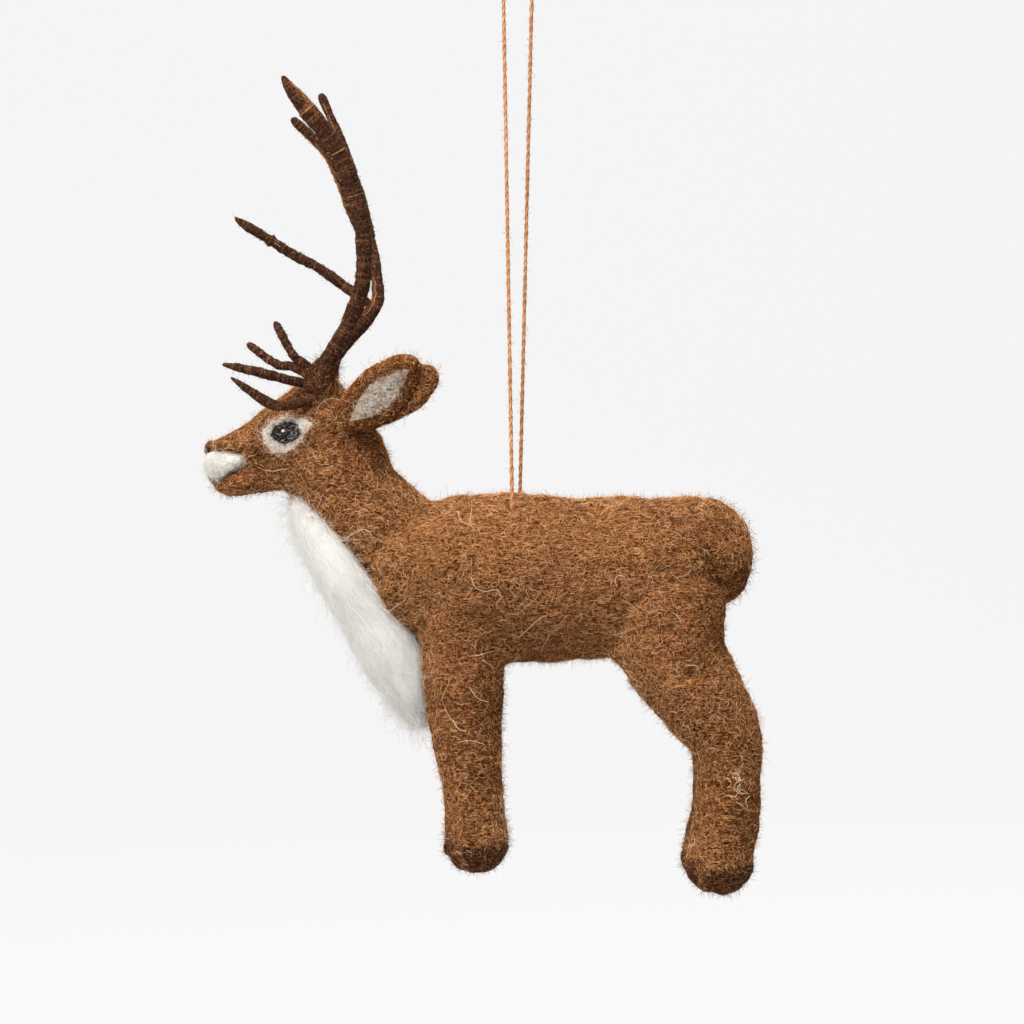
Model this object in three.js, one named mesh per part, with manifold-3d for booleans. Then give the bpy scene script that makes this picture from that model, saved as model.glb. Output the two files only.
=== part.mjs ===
// A needle-felted reindeer ornament that hangs from a loop of cord.
// Millimetres and degrees. The origin is the inside of the loop's top, where a hook holds it.
// The animal has a group of its own, measured from the point of its back under the loop:
// x runs towards the tail, y towards the animal's right side, z up.
import * as THREE from 'three';
import { mergeVertices } from 'three/addons/utils/BufferGeometryUtils.js';
import Module from 'manifold-3d';

const wasm = await Module();
wasm.setup();

// Clearance between neighbours
const FIT = 0.3;

// Cord
const CORD_DIAMETER = 0.85;
const CORD_DROP = 107.5; // top of the loop to the back
const LOOP_SPREAD = 5.7; // between the strands under the loop's top
const TWIST_HEIGHT = 40; // above the back, where the lower strands begin
const STITCH_DEPTH = 2.6; // buried stretch below the back
const STITCH_CORNER = 1.1; // bend of the cord where it goes into the felt

// Torso
const CHEST_REACH = 30.5; // stitch to the front of the chest
const RUMP_REACH = 45; // stitch to the back of the rump
const BODY_DEPTH = 33;
const BODY_WIDTH = 32.6;
const CHEST_ROUND = 7;
const RUMP_ROUND = 8;
const COAT_THICKNESS = 5.5; // dyed wool over the core

// Legs
const LEG_SPREAD = 18; // between the middles of a left and a right leg
const FRONT_LEG_LENGTH = 75; // back to sole
const FRONT_FOOT_X = -8.3;
const FRONT_FOOT_DIAMETER = 12.2;
const HIND_LEG_LENGTH = 79.3;
const HIND_FOOT_X = 39.6;
const HIND_FOOT_DIAMETER = 13;
const LEG_TOP_ROUND = 4.6; // buried upper end
const HOOF_HEIGHT = 5;
const HOOF_THICKNESS = 1.3;
const HOOF_PROUD = 0.2;
const TOE_CLEFT = 1.5;
const TOE_TURN = 52; // how far the cleft looks outward from straight ahead

// Neck, mane and tail
const NECK_DEPTH = 20.6;
const NECK_WIDTH = 21;
const NECK_ROUND = 5;
const NECK_BACK = 1; // upper end behind the middle of the skull
const MANE_LENGTH = 47; // from the throat to the lower tip, measured down
const MANE_DEPTH = 11;
const MANE_WIDTH = 19.4;
const MANE_TOP_AHEAD = 7.1; // throat end ahead of the middle of the skull
const MANE_TIP_BEHIND = 10.3; // lower tip behind the front of the chest
const MANE_TOP_ROUND = 2;
const MANE_TIP_ROUND = 1.2;
const TAIL_LENGTH = 20;
const TAIL_DEPTH = 6.4;
const TAIL_WIDTH = 9;
const TAIL_TOP_ROUND = 2;
const TAIL_TIP_ROUND = 2.4;

// Head
const HEAD_X = -37.5; // middle of the skull
const HEAD_Z = 13.5;
const HEAD_LENGTH = 25.3; // middle of the skull to the tip of the nose
const HEAD_BACK = 6; // skull behind that middle
const SNOUT_DROP = 7.2;
const SNOUT_ROUND = 3.5;
const SKULL_DEPTH = 22;
const SKULL_WIDTH = 21.4;
const SNOUT_DEPTH = 9;
const SNOUT_WIDTH = 9.6;
const MUZZLE_LENGTH = 9;
const MUZZLE_DEPTH = 6.3;
const MUZZLE_WIDTH = 11.2;
const NOSE_DEPTH = 3.2;
const NOSE_WIDTH = 4;
const NOSE_THICKNESS = 3;
const NOSE_SUNK = 1.2; // overlap of the nose's height with the muzzle's
const JAW_LENGTH = 14;
const JAW_DEPTH = 5.4;
const JAW_WIDTH = 9.4;
const JAW_ROUND = 2;
const EYE_PATCH_LENGTH = 10.2;
const EYE_PATCH_HEIGHT = 7;
const PUPIL_LENGTH = 6;
const PUPIL_HEIGHT = 4.2;
const EYE_THICKNESS = 3;
const EYE_ALONG = 0.39; // share of the way from the skull to the snout
const EYE_OVER = 1.2; // above the head's middle line
const EYE_PATCH_TILT = 20;
const PUPIL_TILT = 10;
const PUPIL_PROUD = 0.5;

// Ears
const EAR_LENGTH = 17;
const EAR_WIDTH = 8.4;
const EAR_THICKNESS = 3.6;
const EAR_ROOT_ROUND = 1.5;
const EAR_ROOT_OUT = 7.2; // root from the middle of the skull
const EAR_ROOT_UP = 3.2;
const EAR_FLARE = 20;
const LINING_LENGTH = 12.6;
const LINING_WIDTH = 5.4;
const LINING_THICKNESS = 1.6;
const LEFT_EAR_LIFT = 35;
const LEFT_EAR_BACK = 4.6; // root behind the middle of the skull
const RIGHT_EAR_LIFT = 28;
const RIGHT_EAR_BACK = 6.8;

// Antlers
const ANTLER_SPREAD = 12; // between the two burrs
const BURR_AHEAD = 2.5; // burr from the middle of the skull
const BURR_UP = 8;
const BURR_DIAMETER = 6.8;
const BURR_HEIGHT = 8.6;
const LEFT_BEAM_DIAMETER = 3.3;
const RIGHT_BEAM_DIAMETER = 2.5;
const TINE_DIAMETER = 2.1;
const BROW_TINE_DIAMETER = 1.8;
const TIP_SHARE = 0.5; // thickness of a tip beside its stem

// Wires
const ANTLER_WIRE_DIAMETER = 1;
const ANTLER_ROOT_DEPTH = 10; // wire pushed into the head below the burr
const FRAME_WIRE_DIAMETER = 1.2; // spine and legs
const WIRE_END_COVER = 6; // felt left past a wire's end
const WIRE_CROSSING = 1.2; // gap where a leg wire passes over the spine wire

const SIDES = [
  { name: 'left', sign: -1 },
  { name: 'right', sign: 1 },
];
const MERGE_DISTANCE = 1e-4;
const FELT_SIDES = 12;
const TRIM_SIDES = 10; // ears, face pieces and tail
const CAP_RINGS = 2;
const CORD_SIDES = 8;
const STITCH_STEPS = 44;
const LOOP_STEPS = 34;
const WIRE_SIDES = 5;
const ANTLER_SIDES = 7;
const BALL_SIDES = 10;
const BALL_RINGS = 6;

const v = (x, y, z) => new THREE.Vector3(x, y, z);
const radians = THREE.MathUtils.degToRad;
const mix = THREE.MathUtils.lerp;

// Materials
const wool = (color) => new THREE.MeshStandardMaterial({ color, roughness: 0.95, metalness: 0 });
const brownWool = wool(0x7a4a26);
const rustWool = wool(0x84491f);
const darkWool = wool(0x33211a);
const whiteWool = wool(0xeeece6);
const greyWool = wool(0xb9b2a8);
const blackWool = wool(0x2a2a2c);
const coreWool = wool(0xd9cfbf);
const antlerThread = new THREE.MeshStandardMaterial({ color: 0x3c2620, roughness: 0.8, metalness: 0 });
const tanCord = new THREE.MeshStandardMaterial({ color: 0xb8783f, roughness: 0.85, metalness: 0 });
const softWire = new THREE.MeshStandardMaterial({ color: 0xa8a8a6, roughness: 0.4, metalness: 1 });
const steelWire = new THREE.MeshStandardMaterial({ color: 0x9a9a98, roughness: 0.4, metalness: 1 });

// Solids
function solidOf(geometry) {
  geometry.deleteAttribute('normal');
  geometry.deleteAttribute('uv');
  const merged = mergeVertices(geometry, MERGE_DISTANCE);
  const vertProperties = new Float32Array(merged.attributes.position.array);
  const triVerts = new Uint32Array(merged.index.array);
  return new wasm.Manifold(new wasm.Mesh({ numProp: 3, vertProperties, triVerts }));
}

function geometryOf(solid) {
  const mesh = solid.getMesh();
  const geometry = new THREE.BufferGeometry();
  geometry.setAttribute('position', new THREE.BufferAttribute(mesh.vertProperties, 3));
  geometry.setIndex(new THREE.BufferAttribute(mesh.triVerts, 1));
  geometry.computeVertexNormals();
  return geometry;
}

// A soft lobe: elliptical rings along a spine, closed by rounded ends.
// A station is a point of the spine with the half depth and the half width there.
function lobe(stations, { rings, sides = FELT_SIDES, rounds, grow = 0 }) {
  const spine = new THREE.CatmullRomCurve3(stations.map((s) => s.at));
  const sizes = new THREE.CatmullRomCurve3(stations.map((s) => v(s.deep, s.wide, 0)));
  const [startRound, endRound] = rounds.map((r) => r + grow);
  const outlines = [];
  for (let i = 1; i <= CAP_RINGS; i += 1) {
    const turn = (i / (CAP_RINGS + 1)) * (Math.PI / 2);
    outlines.push({ u: 0, shift: -startRound * Math.cos(turn), share: Math.sin(turn) });
  }
  for (let i = 0; i <= rings; i += 1) outlines.push({ u: i / rings, shift: 0, share: 1 });
  for (let i = CAP_RINGS; i >= 1; i -= 1) {
    const turn = (i / (CAP_RINGS + 1)) * (Math.PI / 2);
    outlines.push({ u: 1, shift: endRound * Math.cos(turn), share: Math.sin(turn) });
  }
  const points = [spine.getPoint(0).addScaledVector(spine.getTangent(0), -startRound)];
  for (const { u, shift, share } of outlines) {
    const along = spine.getTangent(u);
    const across = v(0, 1, 0).addScaledVector(along, -along.y).normalize();
    const up = new THREE.Vector3().crossVectors(along, across);
    const centre = spine.getPoint(u).addScaledVector(along, shift);
    const size = sizes.getPoint(u);
    for (let k = 0; k < sides; k += 1) {
      const angle = (k / sides) * 2 * Math.PI;
      points.push(centre.clone()
        .addScaledVector(across, Math.cos(angle) * (size.y + grow) * share)
        .addScaledVector(up, Math.sin(angle) * (size.x + grow) * share));
    }
  }
  points.push(spine.getPoint(1).addScaledVector(spine.getTangent(1), endRound));
  const index = [];
  const last = points.length - 1;
  const lastRing = 1 + (outlines.length - 1) * sides;
  for (let k = 0; k < sides; k += 1) {
    const next = (k + 1) % sides;
    index.push(0, 1 + next, 1 + k);
    index.push(last, lastRing + k, lastRing + next);
    for (let r = 0; r < outlines.length - 1; r += 1) {
      const a = 1 + r * sides + k;
      const b = 1 + r * sides + next;
      index.push(a, b, b + sides);
      index.push(a, b + sides, a + sides);
    }
  }
  const geometry = new THREE.BufferGeometry().setFromPoints(points);
  geometry.setIndex(index);
  return solidOf(geometry);
}

// A tube of even thickness along a hand-laid list of points.
function tube(points, diameter, { steps, sides, grow = 0 }) {
  const section = new THREE.Shape();
  const radius = diameter / 2 + grow;
  for (let k = 0; k < sides; k += 1) {
    const angle = (k / sides) * 2 * Math.PI;
    const corner = [radius * Math.cos(angle), radius * Math.sin(angle)];
    if (k === 0) section.moveTo(...corner);
    else section.lineTo(...corner);
  }
  const path = new THREE.CatmullRomCurve3(points, false, 'centripetal');
  return solidOf(new THREE.ExtrudeGeometry(section, { steps, extrudePath: path }));
}

function ball(centre, half, grow = 0, turn = 0) {
  const geometry = new THREE.SphereGeometry(1, BALL_SIDES, BALL_RINGS);
  geometry.scale(half.x + grow, half.y + grow, half.z + grow);
  geometry.rotateY(turn);
  geometry.translate(centre.x, centre.y, centre.z);
  return solidOf(geometry);
}

const station = (x, y, z, deep, wide) => ({ at: v(x, y, z), deep, wide });

// Assembly: a piece is carved by every piece placed before it, so neighbours keep the clearance.
const ornament = new THREE.Group();
const reindeer = new THREE.Group();
reindeer.position.z = -CORD_DROP;
ornament.add(reindeer);
const placed = [];

function meets(a, b) {
  const p = a.boundingBox();
  const q = b.boundingBox();
  return [0, 1, 2].every((i) => p.min[i] < q.max[i] && q.min[i] < p.max[i]);
}

function place(name, material, shape) {
  let solid = shape(0);
  for (const earlier of placed) {
    if (meets(solid, earlier)) solid = solid.subtract(earlier);
  }
  placed.push(shape(FIT));
  const mesh = new THREE.Mesh(geometryOf(solid), material);
  mesh.name = name;
  reindeer.add(mesh);
}

// Torso: shares of its length, of its depth for the top and belly lines, and of its half width.
const TORSO_SHAPE = [
  { along: 0, top: 0.08, belly: 0.89, wide: 0.9 },
  { along: 0.19, top: 0.01, belly: 1, wide: 1.03 },
  { along: 0.42, top: 0, belly: 1, wide: 1 },
  { along: 0.59, top: 0.036, belly: 0.99, wide: 0.93 },
  { along: 0.82, top: 0, belly: 0.97, wide: 0.91 },
  { along: 1, top: 0.02, belly: 0.85, wide: 0.76 },
];

const CHEST_X = CHEST_ROUND - CHEST_REACH;
const RUMP_X = RUMP_REACH - RUMP_ROUND;

function torso(grow, inset = 0) {
  const stations = TORSO_SHAPE.map(({ along, top, belly, wide }) => station(
    mix(CHEST_X, RUMP_X, along),
    0,
    (-BODY_DEPTH * (top + belly)) / 2,
    (BODY_DEPTH * (belly - top)) / 2 - inset,
    (BODY_WIDTH * wide) / 2 - inset,
  ));
  return lobe(stations, { rings: 11, rounds: [CHEST_ROUND - inset / 2, RUMP_ROUND - inset / 2], grow });
}

// Ends of the cord's buried stretch, just outside the coat, and the felt's dimple round each.
const cordRadius = CORD_DIAMETER / 2;
const stitchShare = 1 - (2 * STITCH_DEPTH) / BODY_DEPTH;
const STITCH_HALF = (BODY_WIDTH / 2) * Math.sqrt(1 - stitchShare ** 2) + cordRadius + FIT;
const DIMPLE_RADIUS = STITCH_CORNER + cordRadius + FIT;
const dimple = (sign) => ball(
  v(0, sign * STITCH_HALF, -STITCH_DEPTH),
  v(DIMPLE_RADIUS, DIMPLE_RADIUS, DIMPLE_RADIUS),
);
const coat = (grow) => SIDES.reduce((solid, { sign }) => solid.subtract(dimple(sign)), torso(grow));

// Legs: shares of the length down from the back, then of the foot's half size: step from the foot, depth, width.
const LEG_SHAPES = {
  front: {
    length: FRONT_LEG_LENGTH,
    footX: FRONT_FOOT_X,
    foot: FRONT_FOOT_DIAMETER / 2,
    stations: [
      { down: 0.28, step: -0.689, deep: 1.28, wide: 0.95 },
      { down: 0.467, step: -0.443, deep: 1.38, wide: 1.12 },
      { down: 0.573, step: -0.393, deep: 1.25, wide: 1.1 },
      { down: 0.693, step: -0.23, deep: 1.07, wide: 1 },
      { down: 0.807, step: -0.098, deep: 0.95, wide: 0.95 },
      { down: 0.905, step: 0, deep: 1, wide: 1 },
    ],
  },
  hind: {
    length: HIND_LEG_LENGTH,
    footX: HIND_FOOT_X,
    foot: HIND_FOOT_DIAMETER / 2,
    stations: [
      { down: 0.265, step: -1.631, deep: 1.75, wide: 0.92 },
      { down: 0.404, step: -1.4, deep: 1.54, wide: 1.12 },
      { down: 0.498, step: -0.769, deep: 1.32, wide: 1.08 },
      { down: 0.574, step: -0.154, deep: 1.17, wide: 1.02 },
      { down: 0.643, step: 0.215, deep: 1.05, wide: 0.97 },
      { down: 0.719, step: 0.277, deep: 0.98, wide: 0.95 },
      { down: 0.82, step: 0.2, deep: 1, wide: 0.97 },
      { down: 0.908, step: 0, deep: 1, wide: 1 },
    ],
  },
};

const legY = (sign) => (sign * LEG_SPREAD) / 2;
const legPoint = (leg, sign, { down, step }) => v(leg.footX + step * leg.foot, legY(sign), -down * leg.length);

function legLobe(leg, sign, grow) {
  const stations = leg.stations.map((s) => ({
    at: legPoint(leg, sign, s),
    deep: s.deep * leg.foot,
    wide: s.wide * leg.foot,
  }));
  const lowest = stations[stations.length - 1].at.z;
  return lobe(stations, { rings: 9, rounds: [LEG_TOP_ROUND, leg.length + lowest], grow });
}

// A toe is the part of the foot's outer layer on one side of the cleft.
function toe(leg, sign, half, grow) {
  const layer = legLobe(leg, sign, HOOF_PROUD + grow).subtract(legLobe(leg, sign, -HOOF_THICKNESS - grow));
  const reach = leg.length;
  const block = new THREE.BoxGeometry(reach, reach, reach);
  block.translate(0, half * (reach / 2 + TOE_CLEFT / 2 - grow), -reach / 2);
  block.rotateZ(-sign * radians(TOE_TURN));
  block.translate(leg.footX, legY(sign), -leg.length + HOOF_HEIGHT + grow);
  return layer.intersect(solidOf(block));
}

// Head: from the middle of the skull to the snout.
const HEAD_SHAPE = [
  { along: 0, swell: 1 },
  { along: 0.38, swell: 0.54 },
  { along: 0.72, swell: 0.16 },
  { along: 1, swell: 0 },
];
const SNOUT_X = HEAD_X - HEAD_LENGTH + SNOUT_ROUND;
const SNOUT_Z = HEAD_Z - SNOUT_DROP;
const headStations = HEAD_SHAPE.map(({ along, swell }) => station(
  mix(HEAD_X, SNOUT_X, along),
  0,
  mix(HEAD_Z, SNOUT_Z, along),
  mix(SNOUT_DEPTH, SKULL_DEPTH, swell) / 2,
  mix(SNOUT_WIDTH, SKULL_WIDTH, swell) / 2,
));
const head = (grow) => lobe(headStations, { rings: 8, rounds: [HEAD_BACK, SNOUT_ROUND], grow });

// Half width of the head at a share of its length and a height over its middle line.
function headSide(along, over) {
  const sizes = new THREE.CatmullRomCurve3(headStations.map((s) => v(s.deep, s.wide, 0)));
  const size = sizes.getPoint(along);
  return size.y * Math.sqrt(1 - (over / size.x) ** 2);
}

// Face pieces, let into the head.
const eyeCentre = (sign, out) => v(
  mix(HEAD_X, SNOUT_X, EYE_ALONG),
  sign * (headSide(EYE_ALONG, EYE_OVER) + out),
  mix(HEAD_Z, SNOUT_Z, EYE_ALONG) + EYE_OVER,
);
const pupil = (sign, grow) => ball(
  eyeCentre(sign, PUPIL_PROUD),
  v(PUPIL_LENGTH / 2, EYE_THICKNESS / 2, PUPIL_HEIGHT / 2),
  grow,
  -radians(PUPIL_TILT),
);
const eyePatch = (sign, grow) => ball(
  eyeCentre(sign, 0),
  v(EYE_PATCH_LENGTH / 2, EYE_THICKNESS / 2, EYE_PATCH_HEIGHT / 2),
  grow,
  -radians(EYE_PATCH_TILT),
);
const muzzleZ = SNOUT_Z - SNOUT_DEPTH * 0.13;
const MUZZLE_FRONT = SNOUT_X - SNOUT_ROUND;
const muzzle = (grow) => lobe([
  station(MUZZLE_FRONT + MUZZLE_LENGTH * 0.8, 0, muzzleZ, MUZZLE_DEPTH * 0.32, MUZZLE_WIDTH / 2),
  station(MUZZLE_FRONT + MUZZLE_LENGTH * 0.55, 0, muzzleZ, MUZZLE_DEPTH * 0.46, MUZZLE_WIDTH / 2),
  station(MUZZLE_FRONT + MUZZLE_LENGTH * 0.3, 0, muzzleZ, MUZZLE_DEPTH / 2, MUZZLE_WIDTH * 0.46),
], { rings: 5, sides: TRIM_SIDES, rounds: [MUZZLE_LENGTH * 0.2, MUZZLE_LENGTH * 0.3], grow });
const nose = (grow) => ball(
  v(MUZZLE_FRONT + NOSE_THICKNESS / 2, 0, muzzleZ + (MUZZLE_DEPTH + NOSE_DEPTH) / 2 - NOSE_SUNK),
  v(NOSE_THICKNESS / 2, NOSE_WIDTH / 2, NOSE_DEPTH / 2),
  grow,
);
const JAW_SHAPE = [
  { along: 1, under: 0.22, deep: 0.6, wide: 0.5 },
  { along: 0.65, under: 0.48, deep: 0.5, wide: 0.46 },
  { along: 0.36, under: 0.58, deep: 0.38, wide: 0.38 },
];
const jaw = (grow) => lobe(JAW_SHAPE.map(({ along, under, deep, wide }) => station(
  MUZZLE_FRONT + JAW_LENGTH * along,
  0,
  muzzleZ - MUZZLE_DEPTH * under,
  JAW_DEPTH * deep,
  JAW_WIDTH * wide,
)), { rings: 6, sides: TRIM_SIDES, rounds: [JAW_ROUND, JAW_ROUND], grow });

// Neck from the chest to the skull.
const NECK_LOW = -BODY_DEPTH / 3;
const neck = (grow) => lobe([
  station(CHEST_X, 0, NECK_LOW, NECK_DEPTH * 0.57, NECK_WIDTH * 0.57),
  station(mix(CHEST_X, HEAD_X, 0.63), 0, mix(NECK_LOW, HEAD_Z, 0.39), NECK_DEPTH / 2, NECK_WIDTH / 2),
  station(HEAD_X + NECK_BACK, 0, mix(NECK_LOW, HEAD_Z, 0.74), NECK_DEPTH / 2, NECK_WIDTH / 2),
], { rings: 6, rounds: [NECK_ROUND, NECK_ROUND], grow });

// White mane from the throat down the chest: shares of its run back, its length, depth and width.
const MANE_SHAPE = [
  { along: 0, down: 0.04, deep: 0.22, wide: 0.22 },
  { along: 0.156, down: 0.2, deep: 0.44, wide: 0.45 },
  { along: 0.336, down: 0.36, deep: 0.5, wide: 0.5 },
  { along: 0.541, down: 0.54, deep: 0.51, wide: 0.5 },
  { along: 0.746, down: 0.73, deep: 0.48, wide: 0.42 },
  { along: 0.914, down: 0.88, deep: 0.34, wide: 0.28 },
  { along: 1, down: 0.96, deep: 0.18, wide: 0.14 },
];
const maneX = (along) => mix(HEAD_X - MANE_TOP_AHEAD, MANE_TIP_BEHIND - CHEST_REACH, along);
const mane = (grow) => lobe(
  MANE_SHAPE.map(({ along, down, deep, wide }) => station(
    maneX(along),
    0,
    -down * MANE_LENGTH,
    deep * MANE_DEPTH,
    wide * MANE_WIDTH,
  )),
  { rings: 10, rounds: [MANE_TOP_ROUND, MANE_TIP_ROUND], grow },
);

// Tail, hanging down the rump.
const TAIL_TOP = -BODY_DEPTH * 0.2;
const TAIL_SHAPE = [
  { down: 0, sunk: 0.42, deep: 0.4, wide: 0.36 },
  { down: 0.38, sunk: 0.22, deep: 0.5, wide: 0.5 },
  { down: 0.8, sunk: 0.42, deep: 0.4, wide: 0.36 },
];
const tail = (grow) => lobe(TAIL_SHAPE.map(({ down, sunk, deep, wide }) => station(
  RUMP_REACH - TAIL_DEPTH * sunk,
  0,
  TAIL_TOP - TAIL_LENGTH * down,
  TAIL_DEPTH * deep,
  TAIL_WIDTH * wide,
)), { rings: 5, sides: TRIM_SIDES, rounds: [TAIL_TOP_ROUND, TAIL_TIP_ROUND], grow });

// Ears, with a grey lining let into the outer face of each.
const EAR_SHAPE = [
  { along: -0.14, deep: 0.28, wide: 0.45 },
  { along: 0.22, deep: 0.47, wide: 0.5 },
  { along: 0.6, deep: 0.5, wide: 0.48 },
  { along: 0.86, deep: 0.36, wide: 0.38 },
];
const LINING_SHAPE = [
  { along: 0.06, deep: 0.18 },
  { along: 0.4, deep: 0.5 },
  { along: 0.7, deep: 0.46 },
  { along: 0.94, deep: 0.16 },
];
const EARS = {
  left: { lift: LEFT_EAR_LIFT, back: LEFT_EAR_BACK },
  right: { lift: RIGHT_EAR_LIFT, back: RIGHT_EAR_BACK },
};

function earAxis({ name, sign }) {
  const lift = radians(EARS[name].lift);
  const flare = radians(EAR_FLARE);
  return v(Math.cos(lift) * Math.cos(flare), sign * Math.sin(flare), Math.sin(lift) * Math.cos(flare));
}

function earPoint(side, distance, out) {
  const root = v(HEAD_X + EARS[side.name].back, side.sign * EAR_ROOT_OUT, HEAD_Z + EAR_ROOT_UP);
  return root.addScaledVector(earAxis(side), distance).add(v(0, side.sign * out, 0));
}

function ear(side, grow) {
  const stations = EAR_SHAPE.map(({ along, deep, wide }) => ({
    at: earPoint(side, along * EAR_LENGTH, 0),
    deep: deep * EAR_WIDTH,
    wide: wide * EAR_THICKNESS,
  }));
  return lobe(stations, { rings: 6, sides: TRIM_SIDES, rounds: [EAR_ROOT_ROUND, EAR_LENGTH * 0.14], grow });
}

function lining(side, grow) {
  const start = EAR_LENGTH * 0.92 - LINING_LENGTH;
  const stations = LINING_SHAPE.map(({ along, deep }) => ({
    at: earPoint(side, start + along * LINING_LENGTH, EAR_THICKNESS * 0.46),
    deep: deep * LINING_WIDTH,
    wide: LINING_THICKNESS / 2,
  }));
  const round = LINING_LENGTH * 0.06;
  return lobe(stations, { rings: 5, sides: TRIM_SIDES, rounds: [round, round], grow });
}

// Antlers: points behind, outward and above the middle of the burr.
const LEFT_BEAM = [
  [0.5, 0, -1], [3.3, 1.2, 4.4], [6.3, 3, 10.7], [8.4, 5, 16.3], [9.5, 6.5, 20.3], [9.8, 8, 26.3],
  [9.1, 9.5, 32.9], [7.3, 11, 39.5], [4.5, 12.5, 46.1], [-0.9, 13.5, 52.7], [-5.2, 14, 58.2],
];
const RIGHT_BEAM = [
  [0.5, 0, -1], [3.1, 1, 5], [5.7, 2, 8.5], [8.4, 3.5, 12], [11.1, 5, 15.9], [11.7, 5.5, 18],
  [11.2, 6.8, 22.9], [10.2, 8.2, 28.3], [8.7, 10, 35.4], [6.6, 11.2, 42.5], [4.1, 12.2, 49.7],
  [1.2, 13, 56.8], [0.1, 13.3, 59.8],
];
const RIGHT_ELBOW = RIGHT_BEAM[4];
const RIGHT_FORK = RIGHT_BEAM[7];
const TINES = {
  left: {
    upper_brow_tine: [BROW_TINE_DIAMETER, [[-1, 0, 0], [-4.8, 1, 0.7], [-11.5, 2, 2.4], [-17.6, 3, 3.6]]],
    lower_brow_tine: [
      BROW_TINE_DIAMETER,
      [[0.6, 1.5, -1.2], [-1.1, 3.2, -3], [-5.8, 4.2, -4.4], [-9.5, 4.6, -3.6], [-16.2, 5, 0.7]],
    ],
  },
  right: {
    upper_brow_tine: [BROW_TINE_DIAMETER, [[-1, 0, 2.5], [-3, 0.3, 4.5], [-5.4, 1, 6.4], [-8.7, 3, 12.8]]],
    lower_brow_tine: [BROW_TINE_DIAMETER, [[-1, 0, 1.5], [-5.4, 1, 4], [-9, 3, 4.7], [-14.3, 5, 8.6]]],
    middle_tine: [
      TINE_DIAMETER,
      [RIGHT_ELBOW, [6.3, 4.8, 19.4], [-0.3, 4, 24.1], [-5.5, 3.5, 26.8], [-10, 3, 29.6], [-16.4, 2, 33.6]],
    ],
    fork_tine: [
      BROW_TINE_DIAMETER,
      [RIGHT_FORK, [6.4, 8.8, 33.6], [4.9, 8.8, 37.1], [2.5, 8.4, 44], [-0.2, 7.8, 48.6], [-5.4, 7, 54]],
    ],
  },
};
const BEAMS = {
  left: [LEFT_BEAM_DIAMETER, LEFT_BEAM],
  right: [RIGHT_BEAM_DIAMETER, RIGHT_BEAM],
};

function antlerPoint({ sign }, [back, out, up]) {
  const root = v(HEAD_X - BURR_AHEAD, (sign * ANTLER_SPREAD) / 2, HEAD_Z + BURR_UP);
  return root.add(v(back, sign * out, up));
}

function woundStem(side, [diameter, points], grow) {
  const stem = diameter / 2;
  const stations = points.map((p, i) => {
    const size = i === points.length - 1 ? stem * TIP_SHARE : stem;
    return { at: antlerPoint(side, p), deep: size, wide: size };
  });
  const rings = points.length * 2;
  return lobe(stations, { rings, sides: ANTLER_SIDES, rounds: [stem, stem * TIP_SHARE], grow });
}

function antlerWire(side, grow) {
  const points = BEAMS[side.name][1];
  const run = [[0, 0, -ANTLER_ROOT_DEPTH], ...points.slice(0, -1)].map((p) => antlerPoint(side, p));
  return tube(run, ANTLER_WIRE_DIAMETER, { steps: run.length * 2, sides: WIRE_SIDES, grow });
}

const burr = (side, grow) => ball(
  antlerPoint(side, [0, 0, 0]),
  v(BURR_DIAMETER / 2, BURR_DIAMETER / 2, BURR_HEIGHT / 2),
  grow,
);

// Wires of the frame: one along the spine, and one over the shoulder and hip to each pair of feet.
const SPINE_Z = -BODY_DEPTH / 2;
const spineWire = (grow) => tube([
  v(HEAD_X, 0, HEAD_Z - SKULL_DEPTH / 2 + WIRE_END_COVER),
  v(mix(HEAD_X, -CHEST_REACH, 0.6), 0, mix(HEAD_Z, SPINE_Z, 0.55)),
  v(0, 0, SPINE_Z),
  v(RUMP_X, 0, SPINE_Z),
], FRAME_WIRE_DIAMETER, { steps: 16, sides: WIRE_SIDES, grow });

function legWire(leg, grow) {
  const arch = SPINE_Z + FRAME_WIRE_DIAMETER + WIRE_CROSSING;
  const topX = leg.footX + leg.stations[0].step * leg.foot;
  const foot = -leg.length + WIRE_END_COVER;
  const down = (sign) => [
    v(topX, legY(sign) / 2, arch),
    ...leg.stations.slice(1, -1).map((s) => legPoint(leg, sign, s)),
    v(leg.footX, legY(sign), foot),
  ];
  const run = [...down(-1).reverse(), v(topX, 0, arch), ...down(1)];
  return tube(run, FRAME_WIRE_DIAMETER, { steps: run.length * 2, sides: WIRE_SIDES, grow });
}

// Cord: the buried stretch lies across the back, and both strands rise from its ends to the loop.
const strand = (sign, height) => {
  const share = (height + STITCH_DEPTH) / (CORD_DROP + STITCH_DEPTH);
  return v((sign * LOOP_SPREAD * share) / 2, sign * STITCH_HALF * (1 - share), height);
};
const stitch = (grow) => {
  const side = (sign) => [
    v(0, sign * (STITCH_HALF - STITCH_CORNER), -STITCH_DEPTH),
    v(0, sign * (STITCH_HALF - STITCH_CORNER * 0.29), -STITCH_DEPTH + STITCH_CORNER * 0.29),
    strand(sign, STITCH_CORNER - STITCH_DEPTH),
    strand(sign, TWIST_HEIGHT * 0.3),
    strand(sign, TWIST_HEIGHT - FIT / 2),
  ];
  const run = [...side(-1).reverse(), v(0, 0, -STITCH_DEPTH), ...side(1)];
  return tube(run, CORD_DIAMETER, { steps: STITCH_STEPS, sides: CORD_SIDES, grow });
};

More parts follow.
